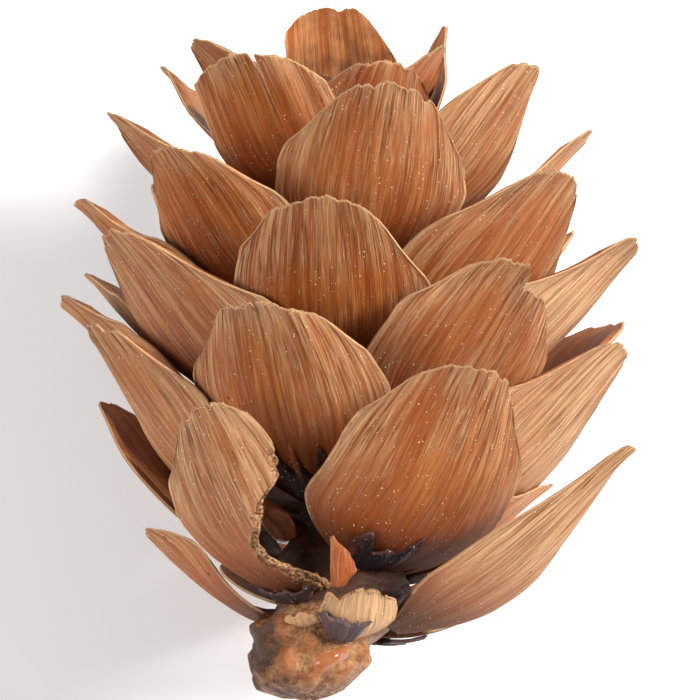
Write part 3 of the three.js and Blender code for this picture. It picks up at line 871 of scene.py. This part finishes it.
def leaf_sheet(spec):
    """A small torn leaf: its half width follows the stations, its middle stands proud with the square
    of the way across, and its edge is broken by noise."""
    place = standing(
        math.radians(spec["azimuth"]), spec["radius"], spec["height"],
        math.radians(spec["open"]), math.radians(spec["roll"]))
    half, rough, seed = spec["half"], spec["rough"], spec["seed"]
    s = np.linspace(0, 1, LEAF_ROWS)[:, None]
    v = np.linspace(-1, 1, LEAF_COLUMNS)[None, :]
    sides = 1 + rough * noise_field(np.sign(v) + 4, s * 9, seed)
    width = np.interp(s, LEAF_STATIONS, spec["widths"]) * sides
    x = half * (v * width + spec["straight"] * (width - 1))
    y = spec["length"] * s * (1 + rough * 0.5 * noise_line(v * 3 + 1, seed + 1) * s)
    edge = np.minimum((1 - np.abs(v)) * half, np.minimum(s, 1 - s) * spec["length"])
    rounded = np.sqrt(np.clip(edge / (LEAF_ROUND_SHARE * half), 0, 1))
    thick = spec["thick"] * (LEAF_EDGE_SHARE + (1 - LEAF_EDGE_SHARE) * rounded)
    bump = LEAF_BUMP * rough * noise_field(v * 3 + 5, s * 6, seed + 2)
    middle = LEAF_CROWN * half * (1 - v * v) + spec["thick"] / 2 + bump

    def place_at(lift):
        sides_and_length = x[..., None] * place["across"] + y[..., None] * place["along"]
        return place["foot"] + sides_and_length + lift[..., None] * place["outward"]

    return closed_sheet(
        place_at(middle + thick / 2), place_at(middle - thick / 2),
        leaf=(x, y + spec["clear"], seed), state=(edge + LEAF_INSET, (1, 0), LEAF_TONE),
        shape=(noise_field(x / 0.3 + 9, y / 3, seed + 3), 0.5, 0))


def stalk_path():
    """The heights of the stalk's rings, their radii and their middles. The radius follows the table
    and then the axis, which narrows at its top."""
    low_heights, low_radii, low_x, low_y = np.array(STALK_RINGS).T
    stub = np.linspace(low_heights[0], AXIS_FOOT, STUB_ROWS)
    heights = np.concatenate([stub, np.linspace(AXIS_FOOT, AXIS_TOP, AXIS_ROWS)[1:]])
    stations = np.append(low_heights, AXIS_FOOT)
    radius = np.interp(heights, stations, np.append(low_radii, axis_radius(AXIS_FOOT) - AXIS_GAP))
    taper = axis_radius(heights) - AXIS_GAP
    narrow = np.clip((AXIS_TOP - heights) / TOP_TAPER, 0, 1)
    radius = np.where(heights > AXIS_FOOT, AXIS_TOP_RADIUS + (taper - AXIS_TOP_RADIUS) * narrow, radius)
    middle_x = np.interp(heights, stations, np.append(low_x, 0))
    middle_y = np.interp(heights, stations, np.append(low_y, 0))
    return heights[:, None], radius[:, None], middle_x[:, None], middle_y[:, None]


def stub_knobs(height, angle):
    """The knobs' bells added up, and the highest bell of the resin lumps."""
    knobs = np.zeros((height.size, angle.size))
    resin = np.zeros_like(knobs)
    for number, (knob_height, degrees, proud, width) in enumerate(STUB_KNOBS):
        around = KNOB_RADIUS * np.arccos(np.clip(np.cos(angle - math.radians(degrees)), -1, 1))
        bell = np.exp(-((around ** 2 + (height - knob_height) ** 2) / width ** 2) ** KNOB_POWER)
        knobs = knobs + proud * bell
        if number < RESIN_KNOBS:
            resin = np.maximum(resin, bell)
    return knobs, resin


def stalk_skin():
    """The stub and the axis as one closed skin over rings, with knobs round the stub and fine lumps
    everywhere. The lower end closes to a point in a hollow of the broken end, and the upper end to a
    point at the top. Its mark is the resin, how proud the knobs stand and 1 on the stub."""
    height, radius, middle_x, middle_y = stalk_path()
    angle = np.linspace(0, 2 * math.pi, STALK_COLUMNS, endpoint=False)[None, :]
    stub = eased(height, *STUB_TOP)
    knobs, resin = stub_knobs(height, angle)
    wrap = np.abs(angle / math.pi - 1)
    lumps = noise_field(6 * wrap + 3, height * 1.4 + 6, 41) + 0.5 * noise_field(13 * wrap, height * 3 + 9, 42)
    grain = noise_field(26 * wrap, height * 6 + 20, 43)
    pits = PIT_DEPTH * np.abs(noise_field(9 * wrap + 30, height * 2.2 + 40, 44))
    relief = stub * (KNOB_SHARE * knobs + KNOB_GROUND + LUMP_HEIGHT * lumps - pits)
    out = radius + relief + (AXIS_GRAIN + (STUB_GRAIN - AXIS_GRAIN) * stub) * grain
    rings = np.stack([
        middle_x + out * np.cos(angle),
        middle_y + out * np.sin(angle),
        height + LUMP_RISE * stub * lumps,
    ], -1)

    def closing(ring, share, rise):
        middle = ring.mean(0)
        return middle + (ring - middle) * share + [0, 0, rise]

    bottom = [closing(rings[0], k, END_HOLLOW * (1 - k) - END_LIP * k) for k in END_SHARES[::-1]]
    top = [closing(rings[-1], k, TOP_DOME * math.sqrt(1 - k)) for k in END_SHARES]
    points = np.concatenate([np.array(bottom), rings, np.array(top)])
    count, around = points.shape[:2]
    index = np.arange(count * around).reshape(count, around)
    after = np.roll(index, -1, axis=1)
    faces = np.stack([index[:-1], after[:-1], after[1:], index[1:]], -1).reshape(-1, 4)
    marks = np.zeros((count, around, 3))
    ends = len(END_SHARES)
    marks[ends:-ends] = np.stack([resin, knobs, stub + 0 * knobs], -1)
    marks[:ends, :, 2] = 1
    return points.reshape(-1, 3), faces, {"knob": marks.reshape(-1, 3)}


# Shader nodes


def add_node(tree, kind, settings=(), **inputs):
    """A new node with its settings, and its named inputs set to values or joined to other sockets."""
    made = tree.nodes.new(kind)
    for name, value in dict(settings).items():
        setattr(made, name, value)
    for name, value in inputs.items():
        connect(tree, made.inputs[name.replace("_", " ")], value)
    return made


def connect(tree, socket, value):
    if isinstance(value, bpy.types.NodeSocket):
        tree.links.new(value, socket)
    else:
        socket.default_value = value


def calculate(tree, operation, *values, clamp=False):
    """A Math node's result."""
    made = tree.nodes.new("ShaderNodeMath")
    made.operation = operation
    made.use_clamp = clamp
    for socket, value in zip(made.inputs, values):
        connect(tree, socket, value)
    return made.outputs[0]


def eased_range(tree, value, low, high, to_low=0.0, to_high=1.0):
    """A smooth step of a value from one range to another."""
    made = add_node(
        tree, "ShaderNodeMapRange", {"interpolation_type": "SMOOTHSTEP"},
        Value=value, From_Min=low, From_Max=high, To_Min=to_low, To_Max=to_high)
    return made.outputs[0]


def product(tree, *values):
    """Masks and numbers multiplied together."""
    result = values[0]
    for value in values[1:]:
        result = calculate(tree, "MULTIPLY", result, value)
    return result


def opposite(tree, mask):
    """1 less a mask."""
    return calculate(tree, "SUBTRACT", 1.0, mask)


def blend_colours(tree, factor, first, second):
    """Two colours mixed by a factor."""
    made = tree.nodes.new("ShaderNodeMix")
    made.data_type = "RGBA"
    by_name = {socket.identifier: socket for socket in made.inputs}
    connect(tree, by_name["Factor_Float"], factor)
    connect(tree, by_name["A_Color"], rgba(first))
    connect(tree, by_name["B_Color"], rgba(second))
    return next(socket for socket in made.outputs if socket.identifier == "Result_Color")


def lay_over(tree, colour, *layers):
    """A colour with others laid over it in turn, each where its mask is 1."""
    for mask, tint in layers:
        colour = blend_colours(tree, mask, colour, tint)
    return colour


def rgba(colour):
    if isinstance(colour, bpy.types.NodeSocket):
        return colour
    return (*colour, 1) if len(colour) == 3 else tuple(colour)


def vector(tree, x, y, z):
    return add_node(tree, "ShaderNodeCombineXYZ", X=x, Y=y, Z=z).outputs[0]


def noise(tree, place, size, detail=2.0, roughness=0.5):
    """A noise texture's value, about 0.5 on average. size is in features per unit of place."""
    made = add_node(
        tree, "ShaderNodeTexNoise", Vector=place, Scale=size, Detail=detail, Roughness=roughness)
    return made.outputs[0]


def object_millimetres(tree):
    """The place on the cone in millimetres, from Object coordinates."""
    place = tree.nodes.new("ShaderNodeTexCoord").outputs["Object"]
    made = add_node(tree, "ShaderNodeVectorMath", {"operation": "SCALE"}, Vector=place, Scale=1 / MM)
    return made.outputs[0]


def mark_parts(tree, name):
    """The three numbers of a mark, as sockets."""
    mark = add_node(tree, "ShaderNodeAttribute", {"attribute_name": name})
    return add_node(tree, "ShaderNodeSeparateXYZ", Vector=mark.outputs["Vector"]).outputs


def shared_group(name, inputs, outputs, fill):
    """The shader node group of that name, made the first time that it is asked for. fill adds its nodes
    and returns a value for each output."""
    if name in bpy.data.node_groups:
        return bpy.data.node_groups[name]
    tree = bpy.data.node_groups.new(name, "ShaderNodeTree")
    for label, kind in inputs.items():
        tree.interface.new_socket(label, in_out="INPUT", socket_type="NodeSocket" + kind)
    for label in outputs:
        tree.interface.new_socket(label, in_out="OUTPUT", socket_type="NodeSocketFloat")
    start = tree.nodes.new("NodeGroupInput")
    end = tree.nodes.new("NodeGroupOutput")
    for label, value in zip(outputs, fill(tree, start.outputs)):
        connect(tree, end.inputs[label], value)
    return tree


def use_group(tree, group, **inputs):
    made = tree.nodes.new("ShaderNodeGroup")
    made.node_tree = group
    for name, value in inputs.items():
        connect(tree, made.inputs[name], value)
    return made.outputs


def fanned_grain():
    """Grain that runs with a scale's lines: Streak is broad, Groove is thin dark lines, Thread is thin
    pale lines, Patch is blotchy and Fibre is a fine short grain."""

    def fill(tree, given):
        apart = calculate(tree, "MULTIPLY", given["Number"], 7.31)

        def stretched(across, along, detail, shift=0.0):
            place = vector(
                tree, calculate(tree, "MULTIPLY", given["Across"], across),
                calculate(tree, "MULTIPLY", given["Along"], along), calculate(tree, "ADD", apart, shift))
            return noise(tree, place, 1, detail, 0.6)

        def thin_lines(value, width):
            away = calculate(tree, "ABSOLUTE", calculate(tree, "SUBTRACT", value, 0.5))
            return eased_range(tree, away, width, 0.0)

        return (
            eased_range(tree, stretched(3.4, 0.13, 4), 0.36, 0.64),
            thin_lines(stretched(3.9, 0.1, 2, 3.7), 0.045),
            thin_lines(stretched(4.6, 0.13, 2, 9.1), 0.04),
            eased_range(tree, stretched(0.3, 0.2, 4, 5.3), 0.38, 0.66),
            eased_range(tree, stretched(9.0, 0.7, 3, 1.3), 0.3, 0.7),
        )

    inputs = {"Across": "Float", "Along": "Float", "Number": "Float"}
    return shared_group("Fanned grain", inputs, ("Streak", "Groove", "Thread", "Patch", "Fibre"), fill)


def specks():
    """Small spots scattered in space: Pale are grains of dried resin, Dark are rare stains."""

    def fill(tree, given):
        def spots(scale, smallest, largest, rarity):
            cells = add_node(tree, "ShaderNodeTexVoronoi", Vector=given["Place"], Scale=scale)
            chance = add_node(tree, "ShaderNodeSeparateXYZ", Vector=cells.outputs["Color"]).outputs[0]
            chance = calculate(tree, "POWER", chance, rarity)
            size = calculate(tree, "MULTIPLY_ADD", chance, largest - smallest, smallest)
            gap = calculate(tree, "SUBTRACT", size, cells.outputs["Distance"])
            return calculate(tree, "MULTIPLY", gap, 30, clamp=True)

        crowded = eased_range(tree, noise(tree, given["Place"], 0.33, 2), 0.4, 0.62, 0.25, 1.0)
        return product(tree, spots(5.2, -0.05, 0.24, 1.5), crowded), spots(0.9, -0.2, 0.12, 3.0)

    return shared_group("Specks", {"Place": "Vector"}, ("Pale", "Dark"), fill)


def worn_edge():
    """1 at a broken edge and 0 a little way in, with an uneven border."""

    def fill(tree, given):
        uneven = noise(tree, given["Place"], 2.3, 3, 0.6)
        reach = product(tree, given["Reach"], eased_range(tree, uneven, 0.3, 0.7, 0.35, 1.6))
        share = calculate(tree, "DIVIDE", given["Edge"], reach)
        return (eased_range(tree, share, 1.0, 0.35),)

    inputs = {"Edge": "Float", "Place": "Vector", "Reach": "Float"}
    return shared_group("Worn edge", inputs, ("Worn",), fill)


def new_material(name):
    """An empty material, its tree and its Principled shader."""
    material = bpy.data.materials.new(name)
    material.use_nodes = True
    tree = material.node_tree
    return material, tree, tree.nodes["Principled BSDF"]


def raise_surface(tree, shader, height, depth, strength=1.0):
    """Feeds a height to the shader's normal, as a relief in which 1 is this deep in millimetres."""
    bump = add_node(tree, "ShaderNodeBump", Strength=strength, Distance=depth * MM, Height=height)
    tree.links.new(bump.outputs[0], shader.inputs["Normal"])


def outer_wood(tree, tints, grain, along, edge, tone, ridge, outward, pale):
    """The colour of a scale's outer face: chestnut with tan crests, bleached where it is weathered,
    dark grooves and pale threads, and painted shade towards its foot, first redder and then darker,
    where neighbouring scales cover it."""
    streak, groove, thread, _, fibre = grain
    crest = eased_range(tree, ridge, -0.5, 0.6)
    less = calculate(tree, "SUBTRACT", tone, 0.43)
    weathered = calculate(tree, "MULTIPLY_ADD", outward, 0.24, less, clamp=True)
    faded = product(tree, weathered, eased_range(tree, streak, 0.0, 1.0, 0.4, 1.2))
    margin = eased_range(tree, edge, 2.6, 0.0)
    return lay_over(
        tree, tints.warm,
        (product(tree, opposite(tree, streak), 0.5), tints.red),
        (product(tree, streak, crest, 0.85), tints.tan),
        (calculate(tree, "ADD", faded, pale, clamp=True), tints.bleached),
        (product(tree, margin, eased_range(tree, streak, 0.0, 1.0, 0.1, 0.65)), tints.bleached),
        (product(tree, groove, outward, 0.85 * (1 - pale)), tints.deep),
        (product(tree, thread, outward, 0.6 * (1 - pale)), tints.bleached),
        (product(tree, opposite(tree, fibre), 0.35), tints.deep),
        # Painted shade: redder and then darker towards the foot, where neighbouring scales cover it.
        (product(tree, eased_range(tree, along, 9.0, 3.0), 0.6), tints.red),
        (product(tree, eased_range(tree, along, 5.0, 1.2), 0.75), tints.foot))


def inner_wood(tree, tints, grain, along):
    """The colour of a scale's inner face: pale streaks, dark patches and painted shade at its foot, which
    ends unevenly.
    """
    # Painted shade at the foot of the inner face; the grain's patches make its upper edge uneven.
    uneven = calculate(tree, "MULTIPLY_ADD", grain["Patch"], -3.0, along)
    return lay_over(
        tree, tints.inner,
        (product(tree, grain["Streak"], 0.75), tints.inner_pale),
        (product(tree, grain["Patch"], 0.6), tints.deep),
        (product(tree, eased_range(tree, uneven, 8.5, 3), 0.85), tints.foot))


def scale_wood(name, tints, pale=0.0):
    """Chestnut scale wood. Its grain fans with the scale's lines and is stronger towards the margin.
    Over the colours of the two faces lie a worn pale rim, the crumbs of a tear, grains of dried resin and
    rare dark stains. pale, up to 1, bleaches it and softens its grain."""
    material, tree, shader = new_material(name)
    across, along, number = mark_parts(tree, "leaf")
    edge, face, tone = mark_parts(tree, "state")
    ridge, share, torn = mark_parts(tree, "shape")
    place = object_millimetres(tree)
    grain = use_group(tree, fanned_grain(), Across=across, Along=along, Number=number)
    streak, groove, thread, patch, fibre = grain
    spread = calculate(tree, "SUBTRACT", 1.15, eased_range(tree, patch, 0.2, 0.9, 0.0, 0.75))
    outward = product(tree, eased_range(tree, share, 0.1, 0.95, 0.25, 1.0), spread)
    rim = use_group(tree, worn_edge(), Edge=edge, Place=place, Reach=0.11)[0]
    crumb = noise(tree, place, 6, 3, 0.7)
    grains = use_group(tree, specks(), Place=place)
    pale_grains = product(tree, grains["Pale"], face, 0.85)
    colour = lay_over(
        tree, inner_wood(tree, tints, grain, along),
        (face, outer_wood(tree, tints, grain, along, edge, tone, ridge, outward, pale)),
        (product(tree, rim, 0.55), tints.rim),
        (torn, blend_colours(tree, eased_range(tree, crumb, 0.4, 0.56), tints.deep, tints.pith)),
        (pale_grains, DRY_RESIN),
        (product(tree, grains["Dark"], 0.7), tints.foot))
    tree.links.new(colour, shader.inputs["Base Color"])

    rough = eased_range(tree, streak, 0.1, 0.9, 0.5, 0.66)
    rough = calculate(tree, "MULTIPLY_ADD", pale_grains, -0.3, rough)
    tree.links.new(rough, shader.inputs["Roughness"])
    shader.inputs["Specular IOR Level"].default_value = 0.12
    threads = product(tree, thread, outward, 0.45)
    height = calculate(tree, "MULTIPLY_ADD", streak, 0.5 * (1 - pale), threads)
    height = calculate(tree, "SUBTRACT", height, product(tree, groove, outward, 0.4))
    for mask, rise in ((fibre, 0.3), (torn, crumb), (pale_grains, 0.6)):
        height = calculate(tree, "MULTIPLY_ADD", mask, rise, height)
    raise_surface(tree, shader, height, 0.06, 0.9)
    return material


def stump_wood(name, tints):
    """The pale wood of the broken lowest scale."""
    return scale_wood(name, tints, STUMP_PALE)


def bract_skin(name, tints):
    """Papery bract, nearly black, with a reddish worn edge, fine grey lines like lying hairs, and a tan
    midrib on the longest one. A shred of an old bract is greyer."""
    material, tree, shader = new_material(name)
    across, along, number = mark_parts(tree, "leaf")
    edge, rib, grey = mark_parts(tree, "state")
    place = object_millimetres(tree)
    grain = use_group(tree, fanned_grain(), Across=across, Along=along, Number=number)
    worn = use_group(tree, worn_edge(), Edge=edge, Place=place, Reach=0.4)[0]
    drawn_out = vector(tree, product(tree, across, 14), product(tree, along, 1.3), number)
    hairs = noise(tree, drawn_out, 1, 2, 0.6)
    hair = product(tree, eased_range(tree, hairs, 0.58, 0.72), 0.4)
    grains = use_group(tree, specks(), Place=place)
    colour = lay_over(
        tree, tints.bract,
        (grain["Patch"], BRACT_BLOOM),
        (worn, tints.bract_edge),
        (grey, tints.bract_grey),
        (eased_range(tree, rib, 0.35, 0.75), tints.inner),
        (hair, HAIR_GREY),
        (grains["Pale"], DUST))
    tree.links.new(colour, shader.inputs["Base Color"])
    tree.links.new(eased_range(tree, grain["Streak"], 0, 1, 0.5, 0.75), shader.inputs["Roughness"])
    shader.inputs["Specular IOR Level"].default_value = 0.2
    height = calculate(tree, "ADD", product(tree, grain["Streak"], 0.5), hair)
    raise_surface(tree, shader, height, 0.05)
    return material


def stalk_bark(name, tints):
    """Knobbly stub: brown and tan, redder on its knobs, with dark mottling, painted shade between its
    knobs and on its left side, and a resin gloss on two knobs. The cushion and the axis above it are dark."""
    material, tree, shader = new_material(name)
    place = object_millimetres(tree)
    resin, knobs, stub = mark_parts(tree, "knob")
    broad = noise(tree, place, 0.6, 3, 0.6)
    fine = noise(tree, place, 2.4, 4, 0.65)
    crumbs = noise(tree, place, 6.0, 3, 0.6)
    side = add_node(tree, "ShaderNodeSeparateXYZ", Vector=place).outputs[0]
    shade = calculate(tree, "MULTIPLY_ADD", fine, 0.35, calculate(tree, "MULTIPLY_ADD", crumbs, 0.3, broad))
    # Painted shade: the dark mottling is pushed further on the stub's left side.
    shade = calculate(tree, "ADD", shade, eased_range(tree, side, -2.2, -4.6, -0.1, 0.16))
    # Painted shade between the knobs, where they stand low.
    between = product(tree, eased_range(tree, knobs, 0.12, 0.0), eased_range(tree, crumbs, 0.45, 0.6))
    glossy = eased_range(tree, resin, 0.3, 0.7)
    bark = lay_over(
        tree, tints.bark,
        (eased_range(tree, fine, 0.38, 0.66), tints.bark_pale),
        (product(tree, eased_range(tree, knobs, 0.05, 0.6), 0.6), tints.inner),
        (product(tree, eased_range(tree, shade, 0.78, 1.0), 0.9), tints.bark_mottle_and_shade),
        (product(tree, between, 0.6), tints.bark_mottle_and_shade),
        (product(tree, glossy, 0.85), tints.resin))
    core = blend_colours(tree, eased_range(tree, fine, 0.4, 0.65), tints.core, tints.foot)
    tree.links.new(blend_colours(tree, stub, core, bark), shader.inputs["Base Color"])
    tree.links.new(eased_range(tree, glossy, 0.0, 1.0, 0.58, 0.2), shader.inputs["Roughness"])
    shader.inputs["Specular IOR Level"].default_value = 0.3
    tree.links.new(product(tree, glossy, 0.5), shader.inputs["Coat Weight"])
    height = calculate(tree, "ADD", fine, product(tree, crumbs, 0.4))
    raise_surface(tree, shader, product(tree, height, opposite(tree, glossy)), 0.14)
    return material


def seed_coat(name, tints):
    """Smooth dark orange seed coat with soft mottling."""
    material, tree, shader = new_material(name)
    mottle = noise(tree, object_millimetres(tree), 1.4, 3, 0.5)
    colour = blend_colours(tree, eased_range(tree, mottle, 0.35, 0.65), tints.seed, tints.inner)
    tree.links.new(colour, shader.inputs["Base Color"])
    tree.links.new(eased_range(tree, mottle, 0.3, 0.7, 0.3, 0.45), shader.inputs["Roughness"])
    raise_surface(tree, shader, mottle, 0.03)
    return material


def table_top(colour):
    """The pale table, with a faint cloudiness."""
    material, tree, shader = new_material("table_top")
    place = tree.nodes.new("ShaderNodeTexCoord").outputs["Object"]
    cloud = eased_range(tree, noise(tree, place, 40, 2), 0.3, 0.7)
    shade = blend_colours(tree, cloud, colour, [part * TABLE_SHADE for part in colour])
    tree.links.new(shade, shader.inputs["Base Color"])
    shader.inputs["Roughness"].default_value = 0.9
    return material


# Each slot's material, and what makes it
FINISHES = {
    "scale_wood": ("chestnut scale", scale_wood),
    "stump_wood": ("torn pale scale", stump_wood),
    "bract_skin": ("papery bract", bract_skin),
    "stalk_bark": ("knobbly stub", stalk_bark),
    "seed_coat": ("glossy seed", seed_coat),
}


def finish_of(context, slot):
    """A slot's material, made the first time that it is asked for."""
    name, make = FINISHES[slot]
    return bpy.data.materials.get(name) or make(name, colours(context))


class AddStalk(bpy.types.Operator):
    """Add the stalk stub and the woody axis above it"""

    bl_idname = "larch_cone.add_stalk"
    bl_label = "Stalk and axis"

    def execute(self, context):
        add_piece(context, "stalk", stalk_skin(), "stalk_bark", "stalk_and_axis")
        return {"FINISHED"}


class AddScales(bpy.types.Operator):
    """Add the forty-two scales of the spiral"""

    bl_idname = "larch_cone.add_scales"
    bl_label = "Scales"

    def execute(self, context):
        for n in range(SCALE_COUNT):
            sheet = scale_sheet(scale_at(n), sizes(context))
            slot = "scale_wood" if n else "stump_wood"
            add_piece(context, f"cone_scale_{n:02d}", sheet, slot, f"scale_{n:02d}")
        return {"FINISHED"}


class AddBracts(bpy.types.Operator):
    """Add the bract that each scale still has"""

    bl_idname = "larch_cone.add_bracts"
    bl_label = "Bracts"

    def execute(self, context):
        for n in range(SCALE_COUNT):
            if n not in LOST_BRACTS:
                replaced = [f"bract_{n:02d}"] if n in CAD_BRACTS else []
                sheet = bract_sheet(scale_at(n))
                add_piece(context, f"cone_bract_{n:02d}", sheet, "bract_skin", *replaced)
        return {"FINISHED"}


class AddTornPieces(bpy.types.Operator):
    """Add the torn sliver, the seed and the chip round the stalk"""

    bl_idname = "larch_cone.add_torn_pieces"
    bl_label = "Torn pieces"

    def execute(self, context):
        for node, spec in TORN_PIECES.items():
            add_piece(context, "cone_" + node, leaf_sheet(spec), spec["slot"], node)
        return {"FINISHED"}


def view_directions():
    """The camera's right and forward in the standing frame, and where it stands."""
    angle = math.radians(VIEW_ANGLE)
    roll = math.radians(VIEW_ROLL)
    forward = np.array([0, math.sin(angle), math.cos(angle)])
    up = np.array([0, -math.cos(angle), math.sin(angle)])
    right = np.array([1.0, 0, 0])
    place = np.array([0, 0, VIEW_HEIGHT]) - VIEW_DISTANCE * forward
    rolled_right = math.cos(roll) * right + math.sin(roll) * up
    rolled_up = math.cos(roll) * up - math.sin(roll) * right
    focal = PIXELS_PER_MM * VIEW_DISTANCE
    aimed = forward + rolled_right * VIEW_OFFSET[0] / focal + rolled_up * VIEW_OFFSET[1] / focal
    return rolled_right, aimed / np.linalg.norm(aimed), place


def add_light(name, place, size, power):
    """A round soft light at a place, turned to face the cone."""
    lamp = bpy.data.lights.new(name, "AREA")
    lamp.shape = "DISK"
    lamp.size = size
    lamp.energy = power
    light = bpy.data.objects.new(name, lamp)
    bpy.context.scene.collection.objects.link(light)
    away = Vector(place) - Vector(CONE_MIDDLE)
    light.matrix_world = Matrix.Translation(place) @ away.to_track_quat("Z", "Y").to_matrix().to_4x4()


def add_camera():
    """The camera of the photograph, brought from the standing frame to the lying cone's."""
    right, forward, place = view_directions()
    here, beside, ahead = lay_down(np.array([place, place + right, place + forward]))
    side, aim = ((there - here) / np.linalg.norm(there - here) for there in (beside, ahead))
    side = side - aim * np.dot(side, aim)
    side = side / np.linalg.norm(side)
    turned = Matrix([side, np.cross(side, aim), -aim]).transposed().to_4x4()
    camera = bpy.data.objects.new("view", bpy.data.cameras.new("view"))
    camera.data.sensor_width = SENSOR
    camera.data.lens = PIXELS_PER_MM * VIEW_DISTANCE / IMAGE_SIZE * SENSOR
    camera.data.clip_start = NEAR_CLIP
    camera.matrix_world = Matrix.Translation(here) @ turned
    bpy.context.scene.collection.objects.link(camera)
    bpy.context.scene.camera = camera


class AddStage(bpy.types.Operator):
    """Add the pale table, the soft lights and the camera"""

    bl_idname = "larch_cone.add_stage"
    bl_label = "Stage"

    def execute(self, context):
        settings = stage_settings(context)
        corners = [(x * TABLE_HALF, y * TABLE_HALF, 0) for x, y in ((-1, -1), (1, -1), (1, 1), (-1, 1))]
        mesh = bpy.data.meshes.new("table")
        mesh.from_pydata(corners, [], [(0, 1, 2, 3)])
        mesh.materials.append(table_top(list(settings.floor)))
        table = bpy.data.objects.new("table", mesh)
        context.scene.collection.objects.link(table)
        add_light("key", KEY_PLACE, KEY_SIZE, settings.key)
        add_light("fill", FILL_PLACE, FILL_SIZE, settings.fill)
        world = bpy.data.worlds.new("studio")
        world.use_nodes = True
        sky = world.node_tree.nodes["Background"]
        sky.inputs["Color"].default_value = (1, 1, 1, 1)
        sky.inputs["Strength"].default_value = settings.sky
        context.scene.world = world
        context.scene.view_settings.view_transform = "Standard"
        add_camera()
        return {"FINISHED"}


OPERATORS = (AddStalk, AddScales, AddBracts, AddTornPieces, AddStage)


class ConePanel(bpy.types.Panel):
    """The cone's pieces and settings, in the sidebar"""

    bl_idname = "VIEW3D_PT_larch_cone"
    bl_label = "Larch cone"
    bl_space_type = "VIEW_3D"
    bl_region_type = "UI"
    bl_category = "Larch cone"

    def draw(self, context):
        for settings in (sizes(context), colours(context), stage_settings(context)):
            box = self.layout.box()
            for name in settings.__annotations__:
                box.prop(settings, name)
        for operator in OPERATORS:
            self.layout.operator(operator.bl_idname)


CLASSES = (ConeSizes, ConeColours, StageSettings, *OPERATORS, ConePanel)


def register():
    for cls in CLASSES:
        bpy.utils.register_class(cls)
    bpy.types.Scene.larch_cone_sizes = PointerProperty(type=ConeSizes)
    bpy.types.Scene.larch_cone_colours = PointerProperty(type=ConeColours)
    bpy.types.Scene.larch_cone_stage = PointerProperty(type=StageSettings)


def unregister():
    del bpy.types.Scene.larch_cone_stage
    del bpy.types.Scene.larch_cone_colours
    del bpy.types.Scene.larch_cone_sizes
    for cls in reversed(CLASSES):
        bpy.utils.unregister_class(cls)


def main():
    register()
    bpy.ops.larch_cone.add_stage()
    bpy.ops.larch_cone.add_stalk()
    bpy.ops.larch_cone.add_scales()
    bpy.ops.larch_cone.add_bracts()
    bpy.ops.larch_cone.add_torn_pieces()


if __name__ == "__main__":
    main()
